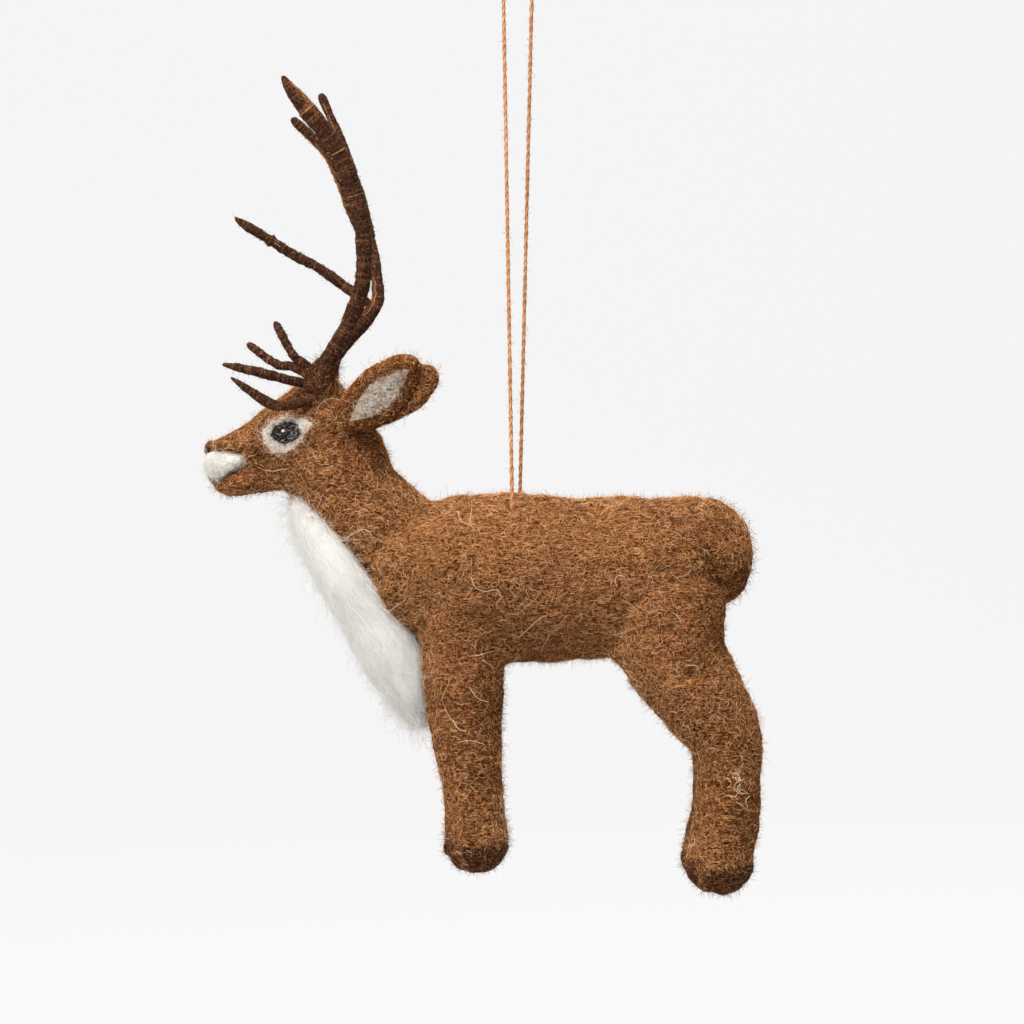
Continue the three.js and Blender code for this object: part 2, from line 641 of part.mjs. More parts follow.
function loop() {
  const bend = LOOP_SPREAD / 2;
  const top = cordRadius;
  const hung = (sign, height) => strand(sign, height).sub(v(0, 0, CORD_DROP));
  const side = (sign) => [
    v(sign * bend * 0.71, 0, top - bend * 0.29),
    v(sign * bend, 0, top - bend),
    ...[0.75, 0.5, 0.25].map((share) => hung(sign, mix(TWIST_HEIGHT, CORD_DROP, share))),
    hung(sign, TWIST_HEIGHT + FIT / 2),
  ];
  const run = [...side(-1).reverse(), v(0, 0, top), ...side(1)];
  return tube(run, CORD_DIAMETER, { steps: LOOP_STEPS, sides: CORD_SIDES });
}

// Pieces in carving order.
place('spine_wire', softWire, spineWire);
place('front_leg_wire', softWire, (grow) => legWire(LEG_SHAPES.front, grow));
place('hind_leg_wire', softWire, (grow) => legWire(LEG_SHAPES.hind, grow));
for (const side of SIDES) {
  place(`${side.name}_antler_wire`, steelWire, (grow) => antlerWire(side, grow));
}
place('cord_stitch', tanCord, stitch);
place('body_core', coreWool, (grow) => torso(grow, COAT_THICKNESS));
place('torso_coat', brownWool, coat);
place('nose_pad', darkWool, nose);
place('white_muzzle', whiteWool, muzzle);
for (const side of SIDES) {
  place(`${side.name}_pupil`, blackWool, (grow) => pupil(side.sign, grow));
  place(`${side.name}_eye_patch`, whiteWool, (grow) => eyePatch(side.sign, grow));
}
place('head', brownWool, head);
place('neck', brownWool, neck);
for (const [pair, leg] of Object.entries(LEG_SHAPES)) {
  for (const { name, sign } of SIDES) {
    place(`${pair}_${name}_outer_toe`, darkWool, (grow) => toe(leg, sign, sign, grow));
    place(`${pair}_${name}_inner_toe`, darkWool, (grow) => toe(leg, sign, -sign, grow));
    place(`${pair}_${name}_leg`, brownWool, (grow) => legLobe(leg, sign, grow));
  }
}
place('throat_mane', whiteWool, mane);
place('tail', brownWool, tail);
place('lower_jaw', darkWool, jaw);
for (const side of SIDES) {
  place(`${side.name}_ear_lining`, greyWool, (grow) => lining(side, grow));
  place(`${side.name}_ear`, rustWool, (grow) => ear(side, grow));
}
for (const side of SIDES) {
  place(`${side.name}_antler_burr`, darkWool, (grow) => burr(side, grow));
  place(`${side.name}_antler_beam`, antlerThread, (grow) => woundStem(side, BEAMS[side.name], grow));
  for (const [tine, form] of Object.entries(TINES[side.name])) {
    place(`${side.name}_${tine}`, antlerThread, (grow) => woundStem(side, form, grow));
  }
}

const loopMesh = new THREE.Mesh(geometryOf(loop()), tanCord);
loopMesh.name = 'cord_loop';
ornament.add(loopMesh);

export default ornament;
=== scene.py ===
import bpy
import math
import numpy as np
from mathutils import Matrix, Vector
from mathutils.bvhtree import BVHTree
from mathutils.kdtree import KDTree


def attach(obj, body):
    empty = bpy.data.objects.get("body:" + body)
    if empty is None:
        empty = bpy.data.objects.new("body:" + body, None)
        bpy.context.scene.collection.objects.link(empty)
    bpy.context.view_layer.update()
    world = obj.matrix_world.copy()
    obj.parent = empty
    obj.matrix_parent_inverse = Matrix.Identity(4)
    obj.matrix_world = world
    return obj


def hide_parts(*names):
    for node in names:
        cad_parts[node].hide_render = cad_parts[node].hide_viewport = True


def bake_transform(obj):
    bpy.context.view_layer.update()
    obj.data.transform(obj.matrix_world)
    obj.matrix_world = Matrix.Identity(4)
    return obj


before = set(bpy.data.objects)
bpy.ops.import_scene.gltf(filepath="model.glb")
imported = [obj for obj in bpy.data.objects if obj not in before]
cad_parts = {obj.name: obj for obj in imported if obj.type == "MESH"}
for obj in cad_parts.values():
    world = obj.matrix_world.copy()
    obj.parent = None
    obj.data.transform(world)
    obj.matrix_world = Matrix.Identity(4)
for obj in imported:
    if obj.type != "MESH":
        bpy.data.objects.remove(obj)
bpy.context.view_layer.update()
scene = bpy.context.scene
mm = 0.001
backZ = -107.5  # height of the back under the loop, in mm of the row frame
dice = np.random.default_rng(41)


def at(x, y, z):  # the animal's own mm to a point of the row frame
    return Vector((x, y, z + backZ)) * mm


def toRow(points):
    return (np.asarray(points, float) + np.array((0, 0, backZ))) * mm


def toAnimal(points):
    return np.asarray(points, float) * 1000 - np.array((0, 0, backZ))


def unit(rows):
    return rows / np.maximum(np.linalg.norm(rows, axis=-1, keepdims=True), 1e-12)


def squareTo(rows, ways):  # what is left of each row without its part along the way
    return unit(rows - ways * np.sum(rows * ways, axis=-1, keepdims=True))


def spread(span, count):  # random sizes between two, given in mm
    return dice.uniform(*span, count) * mm


def linear(red, green, blue):
    shares = [c / 255 for c in (red, green, blue)]
    return tuple(c / 12.92 if c <= 0.04045 else ((c + 0.055) / 1.055) ** 2.4 for c in shares) + (1.0,)


def mode(name):
    bpy.ops.object.mode_set(mode=name)


def deselectAll():
    if bpy.context.mode != "OBJECT":
        mode("OBJECT")
    bpy.ops.object.select_all(action="DESELECT")


def pick(piece):
    deselectAll()
    piece.select_set(True)
    bpy.context.view_layer.objects.active = piece


def settle():
    bpy.ops.object.transform_apply(location=True, rotation=True, scale=True)


def applied(piece, kind, **settings):
    pick(piece)
    modifier = piece.modifiers.new(kind.lower(), kind)
    for key, value in settings.items():
        setattr(modifier, key, value)
    bpy.ops.object.modifier_apply(modifier=modifier.name)


def startFinish(name, rough, specular):
    finish = bpy.data.materials.new(name)
    finish.use_nodes = True
    skin = finish.node_tree.nodes["Principled BSDF"]
    skin.inputs["Roughness"].default_value = rough
    skin.inputs["Specular IOR Level"].default_value = specular
    return finish, finish.node_tree, skin


# A value goes on a node's socket, and another node's output is linked to it
def feed(tree, socket, value):
    if isinstance(value, bpy.types.NodeSocket):
        tree.links.new(value, socket)
    else:
        socket.default_value = value


def node(tree, kind, **inputs):
    made = tree.nodes.new(kind)
    for key, value in inputs.items():
        feed(tree, made.inputs[key.replace("_", " ")], value)
    return made


def maths(tree, operation, *values):
    made = tree.nodes.new("ShaderNodeMath")
    made.operation = operation
    for socket, value in zip(made.inputs, values):
        feed(tree, socket, value)
    return made.outputs[0]


def objectPlace(tree):
    return tree.nodes.new("ShaderNodeTexCoord").outputs["Object"]


def noise(tree, where, scale, detail, distortion=0.0):
    made = node(tree, "ShaderNodeTexNoise", Vector=where, Scale=scale, Detail=detail, Distortion=distortion)
    return made.outputs["Fac"]


def ramp(tree, value, first, last, *between):  # each a place and a colour
    tones = tree.nodes.new("ShaderNodeValToRGB")
    for element, (place, colour) in zip(tones.color_ramp.elements, (first, last)):
        element.position, element.color = place, linear(*colour)
    for place, colour in between:
        tones.color_ramp.elements.new(place).color = linear(*colour)
    feed(tree, tones.inputs["Fac"], value)
    return tones.outputs["Color"]


def bumped(tree, skin, height, strength, distance):
    bump = node(tree, "ShaderNodeBump", Strength=strength, Distance=distance, Height=height)
    feed(tree, skin.inputs["Normal"], bump.outputs["Normal"])


# Camera level with the flank, 750 mm in front of it
view = {"place": (-0.0012, -0.750, -0.1113), "lens": 131.8, "sensor": 36}
deselectAll()
bpy.ops.object.camera_add(location=view["place"], rotation=(math.pi / 2, 0, 0))
camera = bpy.context.object
camera.data.lens = view["lens"]
camera.data.sensor_width = view["sensor"]
scene.camera = camera
scene.view_settings.view_transform = "Standard"

# Pale floor that sweeps up into a backdrop
studio = {"floorZ": -0.262, "bendY": 1.15, "radius": 0.4, "steps": 14, "half": 4.0, "front": -5.0, "top": 2.0,
          "paint": 0.52, "rough": 0.9, "glow": 1.0, "glowShare": 0.86, "world": 0.175, "beyond": 0.9}
deselectAll()
bpy.ops.mesh.primitive_plane_add(size=2, location=(0, 0, studio["floorZ"]))
floor = bpy.context.object
floor.name = "studioSweep"
settle()
for v in floor.data.vertices:
    v.co.x *= studio["half"]
    v.co.y = studio["front"] if v.co.y < 0 else studio["bendY"]
mode("EDIT")
bpy.ops.mesh.select_mode(type="EDGE")
bpy.ops.mesh.select_all(action="DESELECT")
mode("OBJECT")
for e in floor.data.edges:
    e.select = all(floor.data.vertices[i].co.y > 0 for i in e.vertices)
mode("EDIT")
turns = [math.pi / 2 * step / studio["steps"] for step in range(studio["steps"] + 1)]
for a, b in zip(turns, turns[1:]):
    bpy.ops.mesh.extrude_region_move(TRANSFORM_OT_translate={"value": (
        0, studio["radius"] * (math.sin(b) - math.sin(a)), studio["radius"] * (math.cos(a) - math.cos(b)))})
bpy.ops.mesh.extrude_region_move(TRANSFORM_OT_translate={"value": (0, 0, studio["top"])})
bpy.ops.mesh.select_all(action="SELECT")
bpy.ops.mesh.normals_make_consistent(inside=False)
mode("OBJECT")
bpy.ops.object.shade_smooth()


# One where the camera, a mirror or glass looks straight at the backdrop, nought for light on the object
def seenRays(tree):
    rays = tree.nodes.new("ShaderNodeLightPath")
    seen = rays.outputs["Is Camera Ray"]
    for kind in ("Is Glossy Ray", "Is Transmission Ray"):
        seen = maths(tree, "MAXIMUM", seen, rays.outputs[kind])
    return seen


sweepPaint, tree, matt = startFinish("paleSweep", studio["rough"], 0.5)
matt.inputs["Base Color"].default_value = (studio["paint"],) * 3 + (1,)
glow = node(tree, "ShaderNodeEmission", Color=(studio["glow"],) * 3 + (1,))
mix = tree.nodes.new("ShaderNodeMixShader")
for socket, value in zip(mix.inputs, (maths(tree, "MULTIPLY", seenRays(tree), studio["glowShare"]),
                                      matt.outputs[0], glow.outputs[0])):
    feed(tree, socket, value)
feed(tree, tree.nodes["Material Output"].inputs["Surface"], mix.outputs[0])
floor.data.materials.append(sweepPaint)

# Soft light: a large panel high on the left, one above, a weak one low on the left and one behind for the far side
lamps = [
    {"name": "keyPanel", "place": (-0.70, -0.62, 0.84), "size": 0.7, "power": 11.5},
    {"name": "topPanel", "place": (0.08, -0.46, 0.88), "size": 0.7, "power": 14.2},
    {"name": "fillPanel", "place": (-1.00, -0.62, -0.16), "size": 0.8, "power": 7.9},
    {"name": "backPanel", "place": (0.45, 0.85, 0.55), "size": 0.8, "power": 4.5},
]
lampAim = Vector((0, 0, -0.11))
for lamp in lamps:
    toward = (lampAim - Vector(lamp["place"])).to_track_quat("-Z", "Y").to_euler()
    deselectAll()
    bpy.ops.object.light_add(type="AREA", location=lamp["place"], rotation=toward)
    light = bpy.context.object
    light.name = lamp["name"]
    light.data.size = lamp["size"]
    light.data.energy = lamp["power"]
    light.visible_camera = False
scene.world = scene.world or bpy.data.worlds.new("studio")
scene.world.use_nodes = True
tree = scene.world.node_tree
sky = tree.nodes["Background"]
sky.inputs["Color"].default_value = (1, 1, 1, 1)
feed(tree, sky.inputs["Strength"], maths(
    tree, "MULTIPLY_ADD", seenRays(tree), studio["beyond"] - studio["world"], studio["world"]))
print("camera, sweep and lamps set")

# Matted wool: fibre strokes in three directions over a mottled ground, with needle pits sunk in the bump and
# darkened as painted shade
weave = {"rough": 0.95, "specular": 0.05, "stroke": (620.0, 3600.0, 3600.0), "wander": 1.2, "patches": 75.0,
         "pits": 480.0, "bump": 0.7, "bumpDepth": 0.0004,
         "lays": [((0.4, 0.9, 0.2), 0.0), ((1.1, -0.5, 0.9), 3.1), ((-0.7, 0.3, 1.9), 7.7)]}


def woolFinish(name, dark, mid, light, pits=0.5, through=0.0):
    finish, tree, skin = startFinish(name, weave["rough"], weave["specular"])
    if through:  # loose white wool lets light through, so many metres deep
        skin.inputs["Subsurface Weight"].default_value = 1.0
        skin.inputs["Subsurface Radius"].default_value = (1.0, 1.0, 1.0)
        skin.inputs["Subsurface Scale"].default_value = through
    where = objectPlace(tree)
    stroked = None
    for turn, seed in weave["lays"]:
        lay = node(tree, "ShaderNodeMapping", Vector=where, Rotation=turn, Location=(seed,) * 3,
                   Scale=weave["stroke"])
        grain = noise(tree, lay.outputs["Vector"], 1.0, 2.0, weave["wander"])
        stroked = grain if stroked is None else maths(tree, "MAXIMUM", stroked, grain)
    tones = ramp(tree, stroked, (0.50, dark), (0.70, light), (0.585, mid))
    shade = node(tree, "ShaderNodeMapRange", Value=noise(tree, where, weave["patches"], 3.0),
                 From_Min=0.3, From_Max=0.7, To_Min=0.8, To_Max=1.14)
    # Needle pits: the dots darken the colour as painted shade in the holes and also lower the bump
    dots = node(tree, "ShaderNodeTexVoronoi", Vector=where, Scale=weave["pits"])
    pitDepthAndShade = node(tree, "ShaderNodeMapRange", Value=dots.outputs["Distance"],
               From_Min=0.05, From_Max=0.3, To_Min=1.0 - pits, To_Max=1.0).outputs["Result"]
    tint = tree.nodes.new("ShaderNodeVectorMath")
    tint.operation = "SCALE"
    feed(tree, tint.inputs[0], tones)
    feed(tree, tint.inputs["Scale"], maths(tree, "MULTIPLY", shade.outputs["Result"], pitDepthAndShade))
    feed(tree, skin.inputs["Base Color"], tint.outputs["Vector"])
    bumped(tree, skin, maths(tree, "MULTIPLY", stroked, pitDepthAndShade), weave["bump"], weave["bumpDepth"])
    return finish


# Wools of single strands, dyed through
def strandSet(stem, **tones):
    made = [startFinish(stem + name, 0.85, 0.05) for name in tones]
    for (finish, tree, skin), tone in zip(made, tones.values()):
        skin.inputs["Base Color"].default_value = linear(*tone)
    return [finish for finish, tree, skin in made]


finishes = {
    "coat": woolFinish("brownFelt", (50, 24, 8), (122, 74, 40), (198, 143, 94)),
    "rust": woolFinish("rustFelt", (52, 26, 10), (108, 62, 31), (166, 108, 64)),
    "jaw": woolFinish("jawFelt", (58, 29, 12), (128, 77, 44), (196, 136, 90)),
    "dark": woolFinish("darkFelt", (34, 18, 11), (74, 46, 32), (124, 86, 62)),
    "white": woolFinish("whiteWool", (232, 229, 222), (240, 238, 232), (245, 243, 238), pits=0.04, through=0.012),
    "muzzle": woolFinish("muzzleWool", (214, 209, 199), (230, 226, 218), (239, 236, 229), pits=0.08,
                         through=0.001),
    "eyeWhite": woolFinish("eyeWool", (214, 206, 194), (240, 237, 230), (248, 246, 241), pits=0.15),
    "grey": woolFinish("greyFelt", (172, 158, 141), (226, 217, 202), (246, 240, 229), pits=0.2),
    "black": woolFinish("charcoalFelt", (20, 18, 18), (46, 43, 43), (98, 92, 90)),
    "core": woolFinish("coreWool", (190, 178, 158), (217, 207, 191), (232, 226, 214), pits=0.1),
}
strands = {
    "coat": strandSet("coatStrand", Shadow=(76, 38, 14), Brown=(149, 92, 49), Warm=(199, 138, 86),
                      Tan=(229, 179, 128), Pale=(243, 206, 160), Rust=(164, 98, 50), Gold=(213, 151, 90)),
    "dark": strandSet("darkStrand", Black=(39, 22, 14), Brown=(92, 58, 41), Light=(160, 115, 84)),
    "white": strandSet("whiteStrand", Bright=(247, 245, 241), Cream=(240, 237, 230)),
    "muzzle": strandSet("muzzleStrand", Bright=(240, 237, 231), Cream=(229, 224, 215)),
    "grey": strandSet("greyStrand", Ash=(196, 182, 164), Silver=(239, 232, 219), Pale=(249, 245, 237)),
    "black": strandSet("charcoalStrand", Ink=(28, 26, 26), Slate=(74, 70, 68), Ash=(158, 151, 145)),
    "stray": strandSet("strayHair", Straw=(238, 202, 156), Ivory=(248, 228, 196)),
    "cord": strandSet("cordStrand", Tan=(186, 128, 84), Pale=(218, 174, 134)),
}
wool = strands["coat"]
print("wool finishes mixed")


# Curve through stations, sampled evenly: place and sizes together
def alongSpine(stations, spacing):
    rows = np.asarray(stations, float)
    ends = np.vstack([2 * rows[0] - rows[1], rows, 2 * rows[-1] - rows[-2]])
    fine = []
    for i in range(len(rows) - 1):
        a, b, c, d = ends[i:i + 4]
        for t in np.linspace(0, 1, 24, endpoint=False):
            fine.append(0.5 * (2 * b + (c - a) * t + (2 * a - 5 * b + 4 * c - d) * t ** 2
                               + (3 * b - a - 3 * c + d) * t ** 3))
    fine = np.array(fine + [rows[-1]])
    run = lengthAlong(fine[:, :3])
    marks = np.linspace(0, run[-1], max(2, int(round(run[-1] / spacing)) + 1))
    return np.stack([np.interp(marks, run, fine[:, k]) for k in range(fine.shape[1])], axis=1)


def lengthAlong(rows):
    return np.r_[0, np.cumsum(np.linalg.norm(np.diff(rows, axis=0), axis=1))]


# Balls of wool set close along a spine; rows are x, y, z, half depth, half width
def rollLump(plan, spacing=1.5, inner=4.0):
    rows = alongSpine(plan["stations"], spacing)
    balls = []
    for i, (row, way) in enumerate(zip(rows, unit(np.gradient(rows[:, :3], axis=0)))):
        along = Vector(way)
        side = Vector((0, 1, 0))
        side = (side - along * side.dot(along)).normalized()
        first, last = plan["ends"]
        reach = first if i == 0 else last if i == len(rows) - 1 else min(inner, max(row[3], row[4]))
        turn = Matrix((along, side, along.cross(side))).transposed()
        bpy.ops.mesh.primitive_uv_sphere_add(
            segments=20, ring_count=12, radius=1, location=at(*row[:3]), rotation=turn.to_euler(),
            scale=(reach * mm, row[4] * mm, row[3] * mm))
        balls.append(bpy.context.object)
    return balls


clouds = {}
for size in (8, 2.4):  # lump patterns, in mm
    clouds[size] = bpy.data.textures.new("lumps%g" % size, "CLOUDS")
    clouds[size].noise_scale = size * mm
    clouds[size].noise_depth = 2


# Felting: fuse the balls, smooth them and work the surface
def felted(name, balls, voxel, rounds, lumps, levels=1):
    deselectAll()
    for ball in balls:
        ball.select_set(True)
    bpy.context.view_layer.objects.active = balls[0]
    bpy.ops.object.join()
    settle()
    piece = bpy.context.object
    piece.name = piece.data.name = name
    applied(piece, "REMESH", mode="VOXEL", voxel_size=voxel * mm)
    applied(piece, "SMOOTH", factor=0.5, iterations=rounds)
    if levels:
        applied(piece, "SUBSURF", levels=levels, render_levels=levels)
    for size, deep in lumps:
        applied(piece, "DISPLACE", texture=clouds[size], texture_coords="LOCAL", strength=deep * mm, mid_level=0.5)
    pick(piece)
    bpy.ops.object.shade_smooth()
    return piece


def dress(piece, finish, slot, *nodes, soft=True):
    piece.data.materials.clear()
    piece.data.materials.append(finish)
    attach(piece, "reindeer")
    if nodes:
        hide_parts(*nodes)


def corners(piece):
    co = np.empty(len(piece.data.vertices) * 3)
    piece.data.vertices.foreach_get("co", co)
    return co.reshape(-1, 3)


def cornerWays(piece):
    ways = np.empty(len(piece.data.vertices) * 3)
    piece.data.vertex_normals.foreach_get("vector", ways)
    return ways.reshape(-1, 3)


def setCorners(piece, co):
    piece.data.vertices.foreach_set("co", np.ascontiguousarray(co).ravel())
    piece.data.update()


def treeOf(piece):
    bpy.context.view_layer.update()
    return BVHTree.FromObject(piece, bpy.context.evaluated_depsgraph_get())


# Press soft hollows into a piece: rows of x, y, z, radius, depth in mm
def pressed(piece, hollows):
    co, ways = corners(piece), cornerWays(piece)
    spots = toRow([h[:3] for h in hollows])
    sunk = np.zeros(len(co))
    for spot, hollow in zip(spots, hollows):
        apart = np.linalg.norm(co - spot, axis=1) / (hollow[3] * mm)
        sunk = np.maximum(sunk, hollow[4] * mm * np.exp(-apart ** 2))
    setCorners(piece, co - ways * sunk[:, None])


# Keep the side of a plane that its normal points to, and close the cut
def trimmed(piece, point, normal):
    pick(piece)
    mode("EDIT")
    bpy.ops.mesh.select_all(action="SELECT")
    bpy.ops.mesh.bisect(plane_co=at(*point), plane_no=normal, use_fill=True, clear_inner=True, clear_outer=False)
    mode("OBJECT")


def copyOf(piece, name):
    twin = piece.copy()
    twin.data = piece.data.copy()
    twin.name = twin.data.name = name
    scene.collection.objects.link(twin)
    return twin


# Drop loose lumps outside a box of the animal's own mm
def keepWithin(piece, low, high):
    co = toAnimal(corners(piece))
    outside = ~np.all((co >= np.array(low)) & (co <= np.array(high)), axis=1)
    if outside.any():
        pick(piece)
        mode("EDIT")
        bpy.ops.mesh.select_mode(type="VERT")
        bpy.ops.mesh.select_all(action="DESELECT")
        mode("OBJECT")
        piece.data.vertices.foreach_set("select", outside)
        mode("EDIT")
        bpy.ops.mesh.delete(type="VERT")
        mode("OBJECT")


# Even scatter over a piece's faces
def scatter(piece, count):
    mesh = piece.data
    mesh.calc_loop_triangles()
    ids = np.empty(len(mesh.loop_triangles) * 3, np.int32)
    mesh.loop_triangles.foreach_get("vertices", ids)
    ids = ids.reshape(-1, 3)  # put in one order, because an operator's faces come in any
    ids = np.take_along_axis(ids, (ids.argmin(axis=1)[:, None] + np.arange(3)) % 3, axis=1)
    a, b, c = corners(piece)[ids[np.lexsort(ids.T)]].transpose(1, 0, 2)
    wide = np.cross(b - a, c - a)
    area = np.linalg.norm(wide, axis=1)
    chosen = dice.choice(len(area), count, p=area / area.sum())
    u, v = dice.random((2, count, 1))
    u, v = np.where(u + v > 1, 1 - u, u), np.where(u + v > 1, 1 - v, v)
    return a[chosen] + u * (b - a)[chosen] + v * (c - a)[chosen], unit(wide[chosen])


def areaOf(piece):  # in square mm
    return sum(face.area for face in piece.data.polygons) * 1e6


def nearestOn(tree, points):
    found = [tree.find_nearest(point)[:2] for point in points.tolist()]
    spots = np.array([spot for spot, way in found]).reshape(-1, 3)
    return spots, np.array([way for spot, way in found]).reshape(-1, 3)


def turned(rows, axes, angles):
    c, s = np.cos(angles)[:, None], np.sin(angles)[:, None]
    return rows * c + np.cross(axes, rows) * s + axes * (np.sum(axes * rows, axis=1, keepdims=True)) * (1 - c)


def headings(ways, flow, stray):  # random ways along a surface, or near the lie of its wool
    heading = dice.normal(size=ways.shape)
    if flow is not None:
        heading = flow + heading * stray
    return squareTo(heading, ways)


# Strands that lie on a surface: they follow it, curl in its plane and tuck their ends in
def mattedPaths(tree, points, ways, lengths, lift, curl, steps=5, flow=None, stray=1.0):
    count, tuck = len(points), 0.00006
    heading = headings(ways, flow, stray)
    pace = (lengths / (steps - 1))[:, None]
    bends = dice.normal(0, curl, count)
    heading = turned(heading, ways, -bends * (steps - 1) / 2)
    spot = points - heading * pace * (steps - 1) / 2
    high = dice.random(count) * (lift[1] - lift[0]) + lift[0]
    paths, ups = np.empty((count, steps, 3)), np.empty((count, steps, 3))
    for j in range(steps):
        spot, ways = nearestOn(tree, spot)
        arch = math.sin(math.pi * j / (steps - 1))
        paths[:, j] = spot + ways * ((high * arch - tuck * (1 - arch))[:, None])
        ups[:, j] = ways
        heading = turned(squareTo(heading, ways), ways, bends)
        spot = spot + heading * pace
    return paths, ups


# Strands that stand off a surface and curl in the air
def loosePaths(points, ways, lengths, rise, curl, steps=6, flow=None, stray=1.0):
    count, root = len(points), 0.0002
    heading = headings(ways, flow, stray)
    up = dice.uniform(rise[0], rise[1], count)[:, None]
    heading = unit(heading * (1 - up) + ways * up)
    axes = unit(np.cross(heading, dice.normal(size=(count, 3))))
    bends = dice.normal(0, curl, count)
    pace = (lengths / (steps - 1))[:, None]
    paths = np.empty((count, steps, 3))
    paths[:, 0] = points - ways * root
    for j in range(1, steps):
        paths[:, j] = paths[:, j - 1] + heading * pace
        heading = unit(turned(heading, axes, bends + dice.normal(0, curl * 0.5, count)))
    return paths, np.repeat(np.cross(axes, heading)[:, None], steps, axis=1)


def triangleMesh(name, verts, faces):
    mesh = bpy.data.meshes.new(name)
    mesh.vertices.add(len(verts))
    mesh.vertices.foreach_set("co", np.ascontiguousarray(verts, dtype=np.float32).ravel())
    mesh.loops.add(faces.size)
    mesh.loops.foreach_set("vertex_index", np.ascontiguousarray(faces, dtype=np.int32).ravel())
    mesh.polygons.add(len(faces))
    mesh.polygons.foreach_set("loop_start", np.arange(0, faces.size, 3, dtype=np.int32))
    mesh.polygons.foreach_set("use_smooth", np.ones(len(faces), bool))
    mesh.update(calc_edges=True)
    piece = bpy.data.objects.new(name, mesh)
    scene.collection.objects.link(piece)
    return piece


def toned(piece, tones, wools, body="reindeer"):  # one finish per face
    piece.data.polygons.foreach_set("material_index", np.asarray(tones, np.int32))
    for each in wools:
        piece.data.materials.append(each)
    if body:
        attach(piece, body)


# Strand paths to one mesh of closed three-sided tubes with pointed ends
def strandPiece(name, paths, ups, radii, tones, wools, slot, body="reindeer"):
    count, steps, _ = paths.shape
    way = unit(np.gradient(paths, axis=1))
    up = squareTo(ups, way)
    side = np.cross(way, up)
    rings, sides = steps - 2, 3
    radii = np.broadcast_to(np.asarray(radii, float).reshape(-1, 1, 1), (count, 1, 1))
    circle = [(math.cos(t), math.sin(t)) for t in (0, 2 * math.pi / 3, 4 * math.pi / 3)]
    tube = np.stack([paths[:, 1:-1] + radii * (c * up[:, 1:-1] + s * side[:, 1:-1]) for c, s in circle], axis=2)
    verts = np.concatenate([paths[:, :1], tube.reshape(count, rings * sides, 3), paths[:, -1:]], axis=1)
    last, per = 1 + (rings - 1) * sides, rings * sides + 2
    faces = []
    for k in range(sides):
        n = (k + 1) % sides
        faces.append((0, 1 + n, 1 + k))
        for a in range(1, last, sides):
            b = a + sides
            faces += [(a + k, a + n, b + n), (a + k, b + n, b + k)]
        faces.append((last + k, last + n, per - 1))
    faces = np.array(faces, np.int32)
    allFaces = (faces[None] + (np.arange(count, dtype=np.int32) * per)[:, None, None]).reshape(-1, 3)
    piece = triangleMesh(name, verts.reshape(-1, 3), allFaces)
    toned(piece, np.repeat(np.asarray(tones, np.int32), len(faces)), wools, body)
    return piece


def tonePick(count, weights):
    weights = np.asarray(weights, float)
    if weights.ndim == 1:
        return dice.choice(len(weights), count, p=weights / weights.sum())
    steps = np.cumsum(weights / weights.sum(axis=1, keepdims=True), axis=1)
    return (dice.random((count, 1)) > steps).sum(axis=1).clip(0, weights.shape[1] - 1)


# Which points lie outside all of the felts that cover them
def showing(points, covers):
    shown = np.ones(len(points), bool)
    for tree in map(treeOf, covers):
        for i in np.flatnonzero(shown):
            spot, way = tree.find_nearest(Vector(points[i]))[:2]
            shown[i] = (Vector(points[i]) - spot).dot(way) > -0.0003
    return shown


# A felt piece and its short nap: matted strands and a few loose ones
def napOver(piece, finish, slot, solid, wools, weights, density, length, thick, fuzz, keep=None, flow=None,
            stray=1.0, covers=(), steps=4, curl=0.45):
    dress(piece, finishes[finish], slot, solid)
    tree = treeOf(piece)

    def shownSpots(count):
        points, ways = scatter(piece, count)
        kept = showing(points, covers)
        if keep is not None:
            kept &= keep(ways)
        return points[kept], ways[kept]
    points, ways = shownSpots(int(areaOf(piece) * density))
    flat = mattedPaths(tree, points, ways, spread(length, len(points)), (0.00002, 0.00022), curl, steps, flow,
                       stray)
    points, ways = shownSpots(int(areaOf(piece) * density * fuzz))
    longer = (length[0], length[1] * 1.3)
    loose = loosePaths(points, ways, spread(longer, len(points)), (0.15, 0.6), 0.3, steps)
    paths, ups = (np.concatenate(both) for both in zip(flat, loose))
    radii = np.r_[dice.uniform(*thick, len(flat[0])), np.full(len(loose[0]), 0.025)] * mm
    if callable(weights):
        weights = weights(toAnimal(paths[:, 1]))
    strandPiece(piece.name.replace("_felt", "_nap"), paths, ups, radii, tonePick(len(paths), weights), wools, slot)


# Strands worked across the line where two felts meet, each over the other
def workedIn(name, pair, gap, density, wools, slot, length=(0.9, 2.0), thick=(0.026, 0.045), back=1.0, flow=None):
    paths, ups, tones = [], [], []
    trees, steps, clear = [treeOf(piece) for piece in pair], 4, 0.00012
    for own, other in ((0, 1), (1, 0)):
        points, ways = scatter(pair[own], int(areaOf(pair[own]) * density * (back if own else 1)))
        near = np.array([trees[other].find_nearest(p)[3] for p in points.tolist()]) < gap * mm
        near &= showing(points, [pair[other]])
        count = near.sum()
        flat, up = mattedPaths(trees[own], points[near], ways[near], spread(length, count), (0.0001, 0.0003),
                               0.4 if flow is None else 0.2, steps, flow and flow(points[near]), 0.5)
        for i in range(count):
            for j in range(steps):
                spot, way = trees[other].find_nearest(flat[i, j])[:2]
                if (Vector(flat[i, j]) - spot).dot(way) < clear:
                    flat[i, j] = spot + way * clear
        paths.append(flat)
        ups.append(up)
        tones.append(dice.integers(0, len(wools[other]), count) + (len(wools[0]) if own == 0 else 0))
    strandPiece(name, np.concatenate(paths), np.concatenate(ups), spread(thick, sum(map(len, paths))),
                np.concatenate(tones), wools[0] + wools[1], slot)


